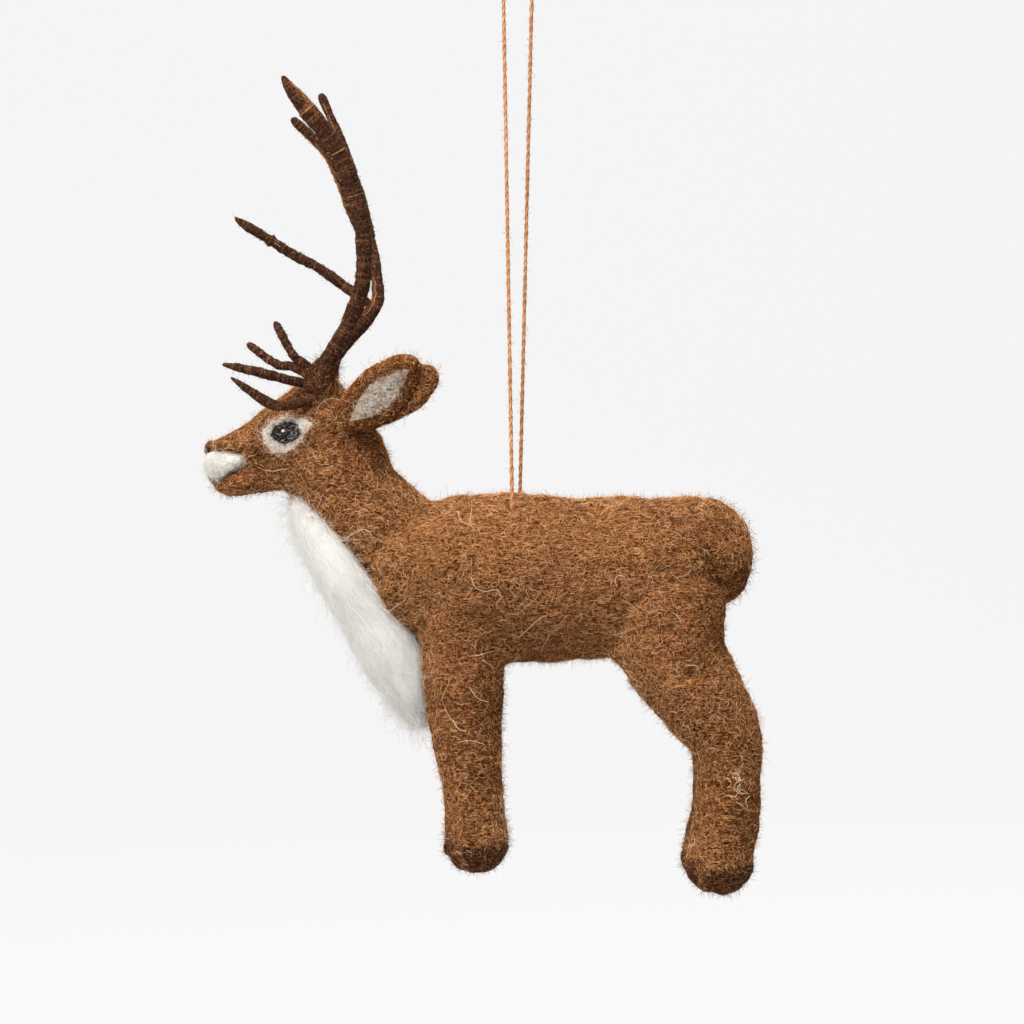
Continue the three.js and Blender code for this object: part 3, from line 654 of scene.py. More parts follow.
# Ways along a line, with an up and a side that don't twist about it
def carried(rows, start):
    way = unit(np.gradient(rows, axis=0))
    up = np.zeros_like(way)
    up[0] = unit(np.cross(way[0], start))
    for i in range(1, len(rows)):
        up[i] = unit(up[i - 1] - way[i] * np.dot(up[i - 1], way[i]))
    return way, up, np.cross(way, up)


def ringOf(angles, up, side):
    return np.cos(angles)[..., None] * up[:, None] + np.sin(angles)[..., None] * side[:, None]


# Triangles of a closed tube, side by side, whose two end points come last
def tubeFaces(rings, sides):
    low, last, end = np.arange(rings - 1) * sides, (rings - 1) * sides, rings * sides
    faces = []
    for k in range(sides):
        n = (k + 1) % sides
        faces += [np.stack([low + k, low + n, low + sides + n], axis=1),
                  np.stack([low + k, low + sides + n, low + sides + k], axis=1),
                  np.array([(end, n, k), (end + 1, last + k, last + n)])]
    return np.vstack(faces)


# Hanging cord: two plies, from inside the near flank over the loop's top and back into the far flank
cordPlan = {"thick": 0.85, "corner": 1.8, "entryY": 9.5, "entryZ": -2.6, "deepY": 5.6, "topZ": 107.93,
            "bend": 2.95, "nearX": (-1.15, -3.0), "farX": (0.35, 2.9), "lay": 3.6, "ringGap": 0.4, "sides": 14,
            "waist": 0.62, "crest": 0.36, "twistFrom": 78, "twistTo": 6, "fuzz": 1500, "fuzzLength": (0.5, 1.7),
            "fuzzThick": 0.000022}


def strandRoute(side, xs):
    plan = cordPlan
    route = [(xs[0], side * plan["deepY"], plan["entryZ"] - plan["corner"])]
    for turn in np.linspace(0, math.pi / 2, 6):
        route.append((xs[0], side * (plan["entryY"] - plan["corner"] * (1 - math.sin(turn))),
                      plan["entryZ"] - plan["corner"] * math.cos(turn)))
    top = plan["topZ"] - plan["bend"]
    for share in np.linspace(0.03, 1, 14):
        route.append((xs[0] + (xs[1] - xs[0]) * share, side * plan["entryY"] * (1 - share),
                      plan["entryZ"] + (top - plan["entryZ"]) * share))
    return route


middleX = (cordPlan["nearX"][1] + cordPlan["farX"][1]) / 2
arch = [(middleX - cordPlan["bend"] * math.cos(t), 0, cordPlan["topZ"] - cordPlan["bend"] * (1 - math.sin(t)))
        for t in np.linspace(0, math.pi, 10)[1:-1]]
route = strandRoute(-1, cordPlan["nearX"]) + arch + strandRoute(1, cordPlan["farX"])[::-1]
line = alongSpine(route, cordPlan["ringGap"])
way, up, side = carried(line, (1.0, 0, 0))
run = lengthAlong(line)
angles = np.linspace(0, 2 * math.pi, cordPlan["sides"], endpoint=False)
sway = 0.7 * np.sin(run * 0.31) + 0.35 * np.sin(run * 0.83 + 1)
spun = angles[None, :] + 2 * math.pi * run[:, None] / cordPlan["lay"] + sway[:, None]
crest = np.abs(np.cos(angles))
wide = cordPlan["thick"] / 2 * (cordPlan["waist"] + cordPlan["crest"] * crest ** 0.8)
slub = 1 + 0.05 * np.sin(run * 1.7) + 0.05 * np.sin(run * 0.57 + 2) + 0.03 * np.sin(run * 4.1)
verts = line[:, None] + slub[:, None, None] * wide[None, :, None] * ringOf(spun, up, side)
verts = np.vstack([verts.reshape(-1, 3), line[:1], line[-1:]])
cord = triangleMesh("hanging_cord", toRow(verts), tubeFaces(len(line), cordPlan["sides"]))
# Crest share of each corner, which paints a highlight on the crests and shade in the grooves
crestLightAndShade = cord.data.attributes.new("ply", "FLOAT", "POINT")
crestLightAndShade.data.foreach_set("value", np.r_[np.tile(crest, len(line)), 0, 0].astype(np.float32))

# Two-ply cord: painted highlight on the pale crests and painted shade in the orange-brown grooves, over the yarn's
# own mottle, with a fine yarn slant
tan, tree, skin = startFinish("tanCord", 0.88, 0.15)
ply = tree.nodes.new("ShaderNodeAttribute")
ply.attribute_name = "ply"
where = objectPlace(tree)
lay = node(tree, "ShaderNodeMapping", Vector=where, Rotation=(0, 0.35, 0), Scale=(4200.0, 4200.0, 420.0))
# The crest share adds a painted highlight on the crests and painted shade in the grooves
mixed = maths(tree, "MULTIPLY", ply.outputs["Fac"], 0.22)
for grain, share in ((noise(tree, lay.outputs["Vector"], 1.0, 2.0), 0.62), (noise(tree, where, 210.0, 2.0), 0.36)):
    mixed = maths(tree, "ADD", mixed, maths(tree, "MULTIPLY", grain, share))
feed(tree, skin.inputs["Base Color"],
     ramp(tree, mixed, (0.28, (142, 80, 40)), (0.95, (232, 190, 150)), (0.64, (194, 134, 89))))
bumped(tree, skin, mixed, 0.6, 0.0002)
cord.data.materials.append(tan)
points, ways = scatter(cord, cordPlan["fuzz"])
hairs = loosePaths(points, ways, spread(cordPlan["fuzzLength"], len(points)), (0.1, 0.5), 0.3, steps=4)
fuzz = strandPiece("cord_fuzz", *hairs, cordPlan["fuzzThick"], tonePick(len(points), (1, 1)), strands["cord"],
                   "tan_cord", body=None)
for piece in (cord, fuzz):
    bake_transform(piece)
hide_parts("cord_loop", "cord_stitch")

# Brown coat: trunk, neck, head and legs felted into one, then parted where the pieces meet
coat = {
    "trunk": {"ends": (7, 8.6), "stations": [
        (-23.5, 0, -16.0, 13.4, 14.7), (-12, 0, -17.0, 16.6, 16.8), (1.9, 0, -17.0, 17.0, 16.3),
        (12.2, 0, -17.3, 16.2, 15.2), (26.1, 0, -15.6, 15.6, 14.8), (36.6, 0, -11.9, 11.6, 12.6)]},
    "neck": {"ends": (5, 5), "stations": [
        (-23.8, 0, -11.2, 11.6, 12), (-32.7, 0, -1.7, 10.3, 10.3), (-37.0, 0, 6.9, 11.0, 10.2)]},
    "head": {"ends": (6, 3.5), "stations": [
        (-37.5, 0, 13.5, 11, 10.7), (-45.8, 0, 10.8, 8, 8), (-53.2, 0, 8.3, 5.5, 5.7), (-59.3, 0, 6.3, 4.5, 4.8)]},
    "jowl": {"ends": (2.5, 4), "stations": [
        (-53.5, 0, 4.8, 2.6, 4.0), (-48.5, 0, 5.0, 3.6, 5.6), (-43.0, 0, 4.6, 4.6, 7.4)]},
    "foreleg": {"ends": (4.6, 6.6), "stations": [
        (-12.5, 9, -21, 7.8, 5.8), (-11, 9, -35, 8.4, 6.8), (-10.7, 9, -43, 7.6, 6.7), (-9.7, 9, -52, 6.5, 6.2),
        (-8.9, 9, -60.5, 5.9, 5.9), (-8.3, 9, -68.4, 6.2, 6.2)]},
    "hindleg": {"ends": (4.6, 6.8), "stations": [
        (29.4, 9, -21, 11.9, 6), (31.0, 9, -32, 10.4, 7.3), (35.4, 9, -39.3, 9.2, 7), (39.6, 9, -45.3, 7.9, 6.6),
        (41.6, 9, -51, 6.9, 6.4), (41.8, 9, -57, 6.4, 6.2), (41.2, 9, -65, 6.4, 6.3), (39.8, 9, -72.5, 6.6, 6.5)]},
    "frontWeb": {"ends": (3.0, 2.4), "stations": [(-5.0, 7.5, -29.6, 4.6, 4.8), (-1.6, 7.5, -31.0, 2.9, 4.2)]},
    "hindWeb": {"ends": (2.4, 3.0), "stations": [(20.6, 7.5, -31.0, 2.8, 4.2), (24.6, 7.5, -30.2, 4.6, 4.8)]},
    "voxel": 0.62, "rounds": 14, "lumps": [(8, 1.15), (2.4, 0.6)],
    "creases": [(37.0, -8, 0.6), (37.6, -10.5, 0.9), (38.2, -13, 1.1), (38.8, -15.5, 1.3), (39.4, -18, 1.7),
                (39.8, -19.6, 1.9), (-5.4, -31, 1.0), (-4.4, -33, 1.2), (-30.6, 9.5, 1.2), (-33.5, 8.6, 0.8)],
    "creaseWide": 1.7, "cordPit": (9.2, -2.8, 1.5, 0.8), "partAngle": 68,
    "headCut": ((-37, 0, 3.5), (-0.45, 0, 0.89)), "neckCut": ((-25.5, 0, -8.5), (-0.806, 0, 0.591)), "legCut": -38,
    "needleHoles": 4200, "pressed": 1300, "dimples": 170, "bare": 0.00036, "nap": 3.65, "hairs": 44,
}
sides = (("left", -1), ("right", 1))
balls = []
for part in ("trunk", "neck", "head", "jowl"):
    balls += rollLump(coat[part])
for part in ("foreleg", "hindleg", "frontWeb", "hindWeb"):
    for _, y in sides:
        stations = [(x, y * w, z, d, half) for x, w, z, d, half in coat[part]["stations"]]
        balls += rollLump({"ends": coat[part]["ends"], "stations": stations})
whole = felted("brownCoat", balls, coat["voxel"], coat["rounds"], coat["lumps"], 0)
spots, _ = scatter(whole, coat["needleHoles"])
hollows = []
for held, radius, deep in ((spots[:coat["pressed"]], (0.4, 0.8), (0.25, 0.75)),
                           (spots[-coat["dimples"]:], (1.0, 1.9), (0.4, 0.9))):
    hollows += [tuple(p) + (r, d) for p, r, d in zip(
        toAnimal(held), dice.uniform(*radius, len(spots)), dice.uniform(*deep, len(spots)))]
firstTree = treeOf(whole)
for _, y in sides:
    pitY, pitZ, pitWide, pitDeep = coat["cordPit"]
    hollows += [(cordPlan["nearX"][0] if y < 0 else cordPlan["farX"][0], y * pitY, pitZ, pitWide, pitDeep)]
    for x, z, deep in coat["creases"]:
        hit = firstTree.ray_cast(at(x, y * 40, z), (0, -y, 0))[0]
        if hit:
            hollows += [tuple(toAnimal(hit)) + (coat["creaseWide"], deep)]
# The snout is drawn in where the white muzzle goes on
drawn = {"fromX": -53.6, "overX": 1.6, "belowZ": 9.2, "overZ": 0.8, "narrow": 0.26,
         "tipX": -58.0, "overTip": 4, "back": 1.8}
local = toAnimal(corners(whole))
inside = (np.clip((drawn["fromX"] - local[:, 0]) / drawn["overX"], 0, 1)
          * np.clip((drawn["belowZ"] - local[:, 2]) / drawn["overZ"], 0, 1))
local[:, 1] *= 1 - drawn["narrow"] * inside
local[:, 0] += inside * np.clip((drawn["tipX"] - local[:, 0]) / drawn["overTip"], 0, 1) * drawn["back"]
setCorners(whole, toRow(local))
pressed(whole, hollows)
print("brown coat felted:", len(whole.data.polygons), "faces")


def parted(name, cuts, low=(-99, -99, -99), high=(99, 99, 99)):
    piece = copyOf(whole, name)
    for point, normal in cuts:
        trimmed(piece, point, normal)
    keepWithin(piece, low, high)
    pick(piece)
    bpy.ops.object.shade_smooth_by_angle(angle=math.radians(coat["partAngle"]))
    return piece


def flip(normal):
    return tuple(-n for n in normal)


headPoint, headWay = coat["headCut"]
neckPoint, neckWay = coat["neckCut"]
felt = {
    "head": parted("head_felt", [(headPoint, headWay)], low=(-99, -99, -9), high=(-20, 99, 99)),
    "neck": parted("neck_felt", [(headPoint, flip(headWay)), (neckPoint, neckWay)]),
    "torso_coat": parted("torso_felt", [(neckPoint, flip(neckWay)), ((0, 0, coat["legCut"]), (0, 0, 1))]),
}
legs = {}
for pair, low, high in (("front", -30, 12), ("hind", 12, 60)):
    for name, ys in (("left", (-30, 0)), ("right", (0, 30))):
        leg = "%s_%s_leg" % (pair, name)
        legs[leg] = parted(leg + "_felt", [((0, 0, coat["legCut"]), (0, 0, -1))],
                           (low, ys[0], -99), (high, ys[1], 99))
felt.update(legs)
for name, piece in felt.items():
    dress(piece, finishes["coat"], "brown_wool", name)


# Which piece a point of the coat belongs to
def coatRegion(points):
    onHead = ((points - headPoint) @ np.array(headWay) > 0) & (points[:, 0] < -20)
    onNeck = ((points - neckPoint) @ np.array(neckWay) > 0) & ~onHead
    onLeg = (points[:, 2] < coat["legCut"]) & ~onHead & ~onNeck
    near = points[:, 1] < 0
    names = np.where(near, "torso_left", "torso_right").astype(object)
    names[onHead], names[onNeck] = "head", "neck"
    for leg in legs:
        pair, name, _ = leg.split("_")
        names[onLeg & ((points[:, 0] < 12) == (pair == "front")) & (near == (name == "left"))] = leg
    return names


# Coat strands: painted shade underneath and in hollows, redder on the brow and snout. Each row gives shares of the
# coat's wools.
coatTree = treeOf(whole)
coatArea = areaOf(whole)
plainTones = np.array((0.20, 0.25, 0.28, 0.20, 0.04, 0.01, 0.02))
browTones = np.array((0.11, 0.20, 0.24, 0.20, 0.05, 0.08, 0.12))
# The loose fuzz gets a lighter mix than the coat: painted light for the glow of thin fibres at the edges
paleGlowFuzzTones = np.array((0.06, 0.22, 0.34, 0.25, 0.08, 0.0, 0.05))
patchTrend = np.array((-0.35, -0.2, 0.1, 0.35, 0.4, 0, 0.2))
# Painted shade: shade shifts the shares toward dark wool and away from pale
shadeTrend = np.array((1.3, 0.5, -0.6, -1.2, -1.2, 0.1, -0.9))  # how shade shifts the shares
mixedTrend = np.array((1.5, 0.9, 0.75, 0.95, 2.4, 1.0, 1.0))  # more dark and more pale on the head, neck and legs
# Painted shade by region: darker wool on the head, neck and legs, and the trunk's negative value paints it a little
# lighter
regionShade = {"head": 0.42, "neck": 0.12, "front_left_leg": 0.45, "front_right_leg": 0.45,
               "hind_left_leg": 0.34, "hind_right_leg": 0.34}
trunkShade = -0.12
# Places that the light hardly reaches, painted with darker wool as painted shade, and one painted lighter as painted
# light: x, z, radius, strength
shadyPlaces = [
    (-4.5, -34.5, 5.5, 1.4), (39.6, -18.5, 3.6, 1.8), (38.4, -13.0, 2.8, 1.1), (-31.5, 9.0, 4.5, 1.3),
    (-13.5, -27, 4.0, 0.7), (40.6, -25, 4.5, 1.6), (-26, 4.5, 3.0, 0.6), (4, -32, 5.0, 0.7), (13, -32.5, 5.0, 0.7),
    (-6.0, -42.5, 6.0, 1.1), (42, -60, 7.0, 0.9), (38.5, -22, 4.5, 1.2), (36.5, -7.5, 4.0, 0.7),
    (38.0, -27, 6.0, 2.0), (-9.0, -43, 6.5, 0.7), (42.5, -66, 6.5, 0.5), (34.0, -41, 6.0, -0.55)]


def coatTones(points, ways):
    x, y, z = points.T
    regions = coatRegion(points)
    brow = np.where(regions == "head", np.clip(ways[:, 2] * 1.6, 0, 1), 0.0)
    rows = plainTones[None] * (1 - brow[:, None]) + browTones[None] * brow[:, None]
    patch = np.sin(x * 0.31 + 1.3 * np.sin(z * 0.23)) * np.sin(z * 0.37 + y * 0.2)
    rows = rows * np.exp(patch[:, None] * patchTrend)
    # Painted shade and painted light: shady places and regions darken or lighten the wool mix
    shade = sum(s * np.exp(-((x - a) ** 2 + (z - b) ** 2) / r ** 2) for a, b, r, s in shadyPlaces)
    shade = shade + np.array([regionShade.get(region, trunkShade) for region in regions])
    rows = rows * np.exp(shade[:, None] * shadeTrend)
    mixed = np.array([region in regionShade for region in regions])
    rows = np.where(mixed[:, None], rows * mixedTrend, rows)
    return tonePick(len(points), rows), regions


# Lie of the wool: a slow swirl over the body
def coatFlow(points):
    x, y, z = toAnimal(points).T
    turn = 2.2 * np.sin(x * 0.13 + z * 0.05) + 1.7 * np.sin(z * 0.16 - y * 0.11 + 1.0)
    return np.stack([np.cos(turn), 0.4 * np.sin(turn * 1.7), np.sin(turn)], axis=1)


points, ways = scatter(whole, int(coatArea * coat["nap"]))
tones, regions = coatTones(toAnimal(points), ways)
holes = KDTree(len(spots))
for i, spot in enumerate(spots):
    holes.insert(spot, i)
holes.balance()
covered = np.array([holes.find(p)[2] for p in points.tolist()]) >= coat["bare"]
points, ways, tones, regions = points[covered], ways[covered], tones[covered], regions[covered]
coatLayers = {
    "underwool": {"tones": (0, 1, 5), "length": (0.9, 2.3), "lift": (-0.02, 0.12), "thick": (0.05, 0.082),
                  "steps": 3},
    "nap": {"tones": (2, 3, 4, 6), "length": (1.1, 2.8), "lift": (0.05, 0.32), "thick": (0.028, 0.05), "steps": 5},
}
coatCurl, coatStray = 0.7, 1.2
for layer, own in coatLayers.items():
    mine = np.isin(tones, own["tones"])
    flat = mattedPaths(coatTree, points[mine], ways[mine], spread(own["length"], mine.sum()),
                       (own["lift"][0] * mm, own["lift"][1] * mm), coatCurl, own["steps"],
                       coatFlow(points[mine]), coatStray)
    radii = spread(own["thick"], mine.sum())
    for region in sorted(set(regions)):
        here = regions[mine] == region
        strandPiece("%s_%s" % (region, layer), flat[0][here], flat[1][here], radii[here], tones[mine][here], wool,
                    "brown_wool")
    print("coat", layer, mine.sum(), "strands")
coatLoose = {
    "fuzz": {"density": 1.8, "shortest": 0.5, "more": 1.7, "power": 1.3, "rise": (0.3, 0.9), "steps": 3},
    "hairs": {"density": 0.4, "shortest": 0.9, "more": 2.6, "power": 1.8, "rise": (0.15, 0.65), "steps": 4},
}
looseThick, halfwayX = 0.000027, -5
for kind, own in coatLoose.items():
    points, ways = scatter(whole, int(coatArea * own["density"]))
    tones = tonePick(len(points), paleGlowFuzzTones)
    lengths = (own["shortest"] + own["more"] * dice.random(len(points)) ** own["power"]) * mm
    loose = loosePaths(points, ways, lengths, own["rise"], 0.5, own["steps"])
    front = toAnimal(points)[:, 0] < halfwayX
    for end, here in (("front", front), ("hind", ~front)):
        strandPiece("%s_coat_%s" % (end, kind), loose[0][here], loose[1][here], looseThick, tones[here], wool,
                    "brown_wool")
    print("coat", kind, len(points), "strands")

# Pale hairs: some caught where they lie on the near side, others anywhere, and a tuft on the hind leg
caughtHairs = [
    [(-12.6, -35.4), (-14.3, -38.9), (-14.7, -41.1), (-13.0, -44.6), (-11.2, -45.0)],
    [(-9.8, -37.6), (-8.0, -40.3), (-5.3, -41.2)], [(-12.0, -49.1), (-9.6, -48.6), (-6.2, -49.5)],
    [(-34.2, -9.1), (-30.4, -7.2), (-28.2, -9.1)], [(-0.4, -29.0), (4.4, -24.5), (6.3, -24.5)],
    [(16.0, -27.3), (18.6, -27.9), (21.9, -27.1), (24.8, -24.9)],
    [(-9.4, -15.9), (-8.4, -18.5), (-6.5, -19.3), (-4.1, -19.0), (-3.0, -21.2)],
    [(-9.1, -2.6), (-9.4, -5.9), (-8.4, -7.8)], [(-8.7, -32.1), (-4.4, -31.1)],
    [(-7.0, -32.8), (-5.3, -34.4), (-4.6, -35.6)], [(32.5, -34.0), (34.6, -33.8), (35.8, -35.7)],
]
hairSteps, tuft = 14, {"x": 43.1, "z": -57.4, "wide": 0.0014, "count": 16}
paths, ups = [], []
for row in caughtHairs:
    spots = alongSpine([(x, 0, z) for x, z in row], 0.3)
    spots = spots[np.linspace(0, len(spots) - 1, hairSteps).astype(int)]
    hits = [coatTree.ray_cast(at(x, -40, z), (0, 1, 0)) for x, _, z in spots]
    rise = 0.0003 * np.sin(np.linspace(0, math.pi, hairSteps))[:, None] - 0.00005
    ups.append(np.array([hit[1] for hit in hits]))
    paths.append(np.array([hit[0] for hit in hits]) + ups[-1] * rise)
points, ways = scatter(whole, coat["hairs"])
hairs = mattedPaths(coatTree, points, ways, spread((3, 9), len(points)), (0.0001, 0.0006), 0.16, hairSteps)
root = np.array(coatTree.ray_cast(at(tuft["x"], -40, tuft["z"]), (0, 1, 0))[0])
spots, ways = nearestOn(coatTree, root + dice.normal(0, tuft["wide"], (tuft["count"], 3)))
curls = mattedPaths(coatTree, spots, ways, spread((1.5, 4), tuft["count"]), (0.0001, 0.0005), 0.2, hairSteps)
paths = np.concatenate([np.array(paths), hairs[0], curls[0]])
ups = np.concatenate([np.array(ups), hairs[1], curls[1]])
strandPiece("pale_hairs", paths, ups, spread((0.042, 0.066), len(paths)), tonePick(len(paths), (0.6, 0.4)),
            strands["stray"], "white_wool")
print("pale hairs:", len(paths))


# Wool let into a felt face: a flattened ball drawn out to an outline and laid on what carries it
def letIn(name, tree, centre, across, along, out, reach, rise, sink, fine=44):
    deselectAll()
    bpy.ops.mesh.primitive_uv_sphere_add(segments=fine, ring_count=22, radius=1, location=(0, 0, 0))
    piece = bpy.context.object
    piece.name = piece.data.name = name
    loops = [list(face.vertices) for face in piece.data.polygons]
    loops = sorted(loop[loop.index(min(loop)):] + loop[:loop.index(min(loop))] for loop in loops)
    places = [tuple(v.co) for v in piece.data.vertices]
    piece.data.clear_geometry()  # the ball's faces come in any order, so they go back in one
    piece.data.from_pydata(places, [], loops)
    across, along, out = (Vector(v).normalized() for v in (across, along, out))
    for v in piece.data.vertices:
        a, b, c = v.co
        spot = at(*centre) + (across * a + along * b) * (reach(math.atan2(b, a)) * mm)
        hit = tree.ray_cast(spot + out * 0.03, -out)[0] or tree.find_nearest(spot)[0]
        v.co = hit + out * (c * (rise if c > 0 else sink) * mm)
    pick(piece)
    bpy.ops.object.shade_smooth()
    return piece


# Eyes: a ragged white patch with a charcoal pupil in it
eyes = {"centre": (-46.0, 11.9), "pupil": (2.95, 2.15), "pupilTilt": 8, "glint": 0.34, "glintAt": (-0.45, 0.35),
        "glintShape": (1.15, 0.7, 0.9), "fringe": 420, "onPupil": 0.25, "patch": [
            (-180, 5.0), (-150, 4.6), (-130, 4.8), (-89, 3.8), (-54, 3.5), (-17, 3.7), (6, 4.5), (20, 5.9),
            (36, 4.5), (77, 2.9), (132, 3.4), (180, 4.7)]}


def pupilEdge(turn):
    t, seed = turn - math.radians(eyes["pupilTilt"]), 4.1
    base = 1 / math.hypot(math.cos(t) / eyes["pupil"][0], math.sin(t) / eyes["pupil"][1])
    return base * (1 + 0.03 * math.sin(5 * turn + seed) + 0.025 * math.sin(9 * turn + 2.3 * seed))


def patchEdge(turn):
    base = float(np.interp(math.degrees(turn), *zip(*eyes["patch"])))
    return base * (1 + 0.04 * math.sin(11 * turn) + 0.03 * math.sin(23 * turn + 1))


def outward(way, least=0.2):  # keeps the faces that look one way
    return lambda ways: ways @ np.array(way) > least


headTree = treeOf(felt["head"])
for name, y in sides:
    x, z = eyes["centre"]
    plane = ((x, 0, z), (1, 0, 0), (0, 0, 1), (0, y, 0))
    patch = letIn(name + "_eye_patch_felt", headTree, *plane, patchEdge, 0.18, 1.2, 72)
    napOver(patch, "eyeWhite", "white_wool", name + "_eye_patch",
            strands["grey"][1:] + strands["white"] + wool[2:4], (0.08, 0.3, 0.36, 0.22, 0.03, 0.01),
            density=7.0, length=(0.8, 2.2), thick=(0.025, 0.045), fuzz=0.15, keep=outward((0, y, 0)))
    pupil = letIn(name + "_pupil_felt", treeOf(patch), *plane, pupilEdge, 0.45, 0.9)
    napOver(pupil, "black", "black_wool", name + "_pupil", strands["black"] + strands["grey"][2:],
            (0.44, 0.32, 0.12, 0.12), density=9.0, length=(0.6, 1.7), thick=(0.022, 0.04), fuzz=0.08,
            keep=outward((0, y, 0)))
    spot = treeOf(pupil).ray_cast(at(x + eyes["glintAt"][0], y * 40, z + eyes["glintAt"][1]), (0, -y, 0))[0]
    deselectAll()
    bpy.ops.mesh.primitive_ico_sphere_add(subdivisions=3, radius=eyes["glint"] * mm, location=spot)
    glint = bpy.context.object
    bpy.ops.transform.resize(value=eyes["glintShape"])
    settle()
    bpy.ops.object.shade_smooth()
    glint.name = glint.data.name = name + "_eye_glint"
    dress(glint, strands["white"][0], "white_wool", soft=False)
    # Wisps across the edges of the patch and the pupil
    count = eyes["fringe"]
    turns = dice.uniform(-math.pi, math.pi, count)
    onPupil = dice.random(count) < eyes["onPupil"]
    reaches = np.array([(pupilEdge if p else patchEdge)(t) for p, t in zip(onPupil, turns)])
    reaches = reaches * dice.normal(1.03, 0.08, count)
    hits = [headTree.ray_cast(at(x + r * math.cos(t), y * 40, z + r * math.sin(t)), (0, -y, 0))
            for r, t in zip(reaches, turns)]
    spots, ways = np.array([hit[0] for hit in hits]), np.array([hit[1] for hit in hits])
    flat = mattedPaths(headTree, spots, ways, spread((0.7, 1.9), count), (0.00025, 0.0005), 0.4, 4)
    shades = np.where(onPupil, dice.choice((3, 4), count),
                      dice.choice((0, 1, 2, 5), count, p=(0.16, 0.3, 0.24, 0.3)))
    strandPiece(name + "_eye_fringe", *flat, spread((0.022, 0.04), count), shades,
                strands["stray"] + strands["grey"][2:] + strands["black"][:2] + wool[2:3], "white_wool")
print("eyes set")

# Muzzle, nose and jaw
snout = {
    "muzzle": {"ends": (1.0, 2.7), "stations": [
        (-53.4, 0, 6.1, 0.5, 4.4), (-55.0, 0, 6.4, 1.6, 5.0), (-57.2, 0, 6.1, 2.9, 5.4),
        (-60.0, 0, 5.2, 3.7, 5.2)]},
    "jaw": {"ends": (2.5, 1.0), "stations": [
        (-48.0, 0, 4.0, 3.4, 5.4), (-52.6, 0, 3.1, 3.1, 5.3), (-55.8, 0, 2.3, 2.8, 5.1), (-57.8, 0, 1.8, 2.2, 4.5),
        (-59.2, 0, 1.9, 1.1, 3.4)]},
    "nose": {"ends": (0.9, 0.9), "stations": [
        (-60.8, -1.6, 8.7, 1.5, 1.1), (-61.4, 0, 8.7, 1.7, 1.2), (-60.8, 1.6, 8.7, 1.5, 1.1)]},
}
muzzle = felted("muzzle_felt", rollLump(snout["muzzle"], 0.8, 2), 0.45, 4, [(2.4, 0.35)])
napOver(muzzle, "muzzle", "white_wool", "white_muzzle", strands["muzzle"], (0.6, 0.4),
        density=4.5, length=(1.0, 2.4), thick=(0.026, 0.045), fuzz=0.5, covers=[felt["head"]])
jaw = felted("jaw_felt", rollLump(snout["jaw"], 0.8, 2.5), 0.55, 3, [(2.4, 0.4)])
napOver(jaw, "jaw", "dark_wool", "lower_jaw", wool, (0.2, 0.27, 0.26, 0.19, 0.04, 0.02, 0.02),
        density=4.4, length=(0.9, 2.3), thick=(0.03, 0.058), fuzz=0.5, covers=[felt["head"], muzzle])
nose = felted("nose_felt", rollLump(snout["nose"], 0.4, 0.9), 0.3, 2, [(2.4, 0.3)])
napOver(nose, "dark", "dark_wool", "nose_pad", strands["dark"] + wool[:2], (0.3, 0.4, 0.1, 0.15, 0.05),
        density=9.0, length=(0.6, 1.4), thick=(0.03, 0.05), fuzz=0.3)
ivory = strands["stray"][1:]
workedIn("muzzle_edge", (muzzle, felt["head"]), 0.7, 10.0, (ivory, wool[1:4]), "white_wool", back=0.25)
# Mouth line: the jaw's dark fibres, made darker as painted shade where the muzzle meets the jaw
workedIn("mouth_edge", (muzzle, jaw), 0.9, 10.0, (ivory, wool[:2]), "dark_wool", back=0.05)
workedIn("nose_edge", (nose, felt["head"]), 0.5, 4.0, (strands["dark"][:2], wool[1:4]), "dark_wool", (0.7, 1.4))

# Tail lobe on the rump, with painted shade underneath
tailPlan = {"shadeZ": -11, "shadeOver": 6, "ends": (2, 2.4), "stations": [
    (37.0, 0, -4.0, 3.6, 8.0), (40.6, 0, -6.2, 3.8, 8.8), (42.6, 0, -9.4, 3.8, 9.2), (43.2, 0, -13.2, 3.5, 9.0),
    (42.8, 0, -16.7, 3.0, 8.0), (42.2, 0, -19.3, 2.3, 6.0)]}


def tailTones(points):
    # Painted shade: darker wool mix below shadeZ
    low = np.clip((tailPlan["shadeZ"] - points[:, 2:]) / tailPlan["shadeOver"], 0, 1)
    return plainTones * np.exp(low * shadeTrend)


tail = felted("tail_felt", rollLump(tailPlan, 1.2, 3), 0.8, 4, [(8, 0.8), (2.4, 0.6)])
napOver(tail, "coat", "brown_wool", "tail", wool, tailTones,
        density=4.0, length=(1.0, 2.6), thick=(0.034, 0.06), fuzz=0.4, covers=[felt["torso_coat"]],
        steps=5, curl=0.5)
print("snout and tail felted")

# Ears: a felt leaf with a pressed hollow and a grey lining laid in it
earPlan = {
    "ends": (1.6, 1.5), "cup": 1.7, "thick": 2.0, "flare": 20, "leaf": 1.35,
    "left": {"middle": (-27.3, -10.2, 19.5), "lift": 40.8, "lining": (8.1, 2.75, -0.2), "rows": [
        (-9.5, 3.0), (-6.0, 4.6), (-1.5, 5.5), (3.0, 5.3), (6.6, 4.2), (9.2, 2.4)],
        "upper": (0.15, 0.24, 0.2, 0.13, 0.03, 0.16, 0.09, 0, 0),
        # lower: painted shade for the near ear's lower rim, which turns away from the light
        "lower": (0.24, 0.08, 0.03, 0.02, 0.01, 0.02, 0.01, 0.36, 0.23)},
    "right": {"middle": (-23.8, 10.0, 20.4), "lift": 32, "lining": (6.8, 2.5, 0.0), "rows": [
        (-9.0, 3.0), (-6.0, 4.2), (-1.5, 4.9), (2.6, 4.7), (5.6, 3.7), (7.6, 2.1)],
        # The far ear's lighter mix is painted light, lifting its side turned from the lamps
        "upper": (0.08, 0.16, 0.28, 0.26, 0.08, 0.06, 0.08, 0, 0),
        "lower": (0.08, 0.16, 0.28, 0.26, 0.08, 0.06, 0.08, 0, 0)},
}
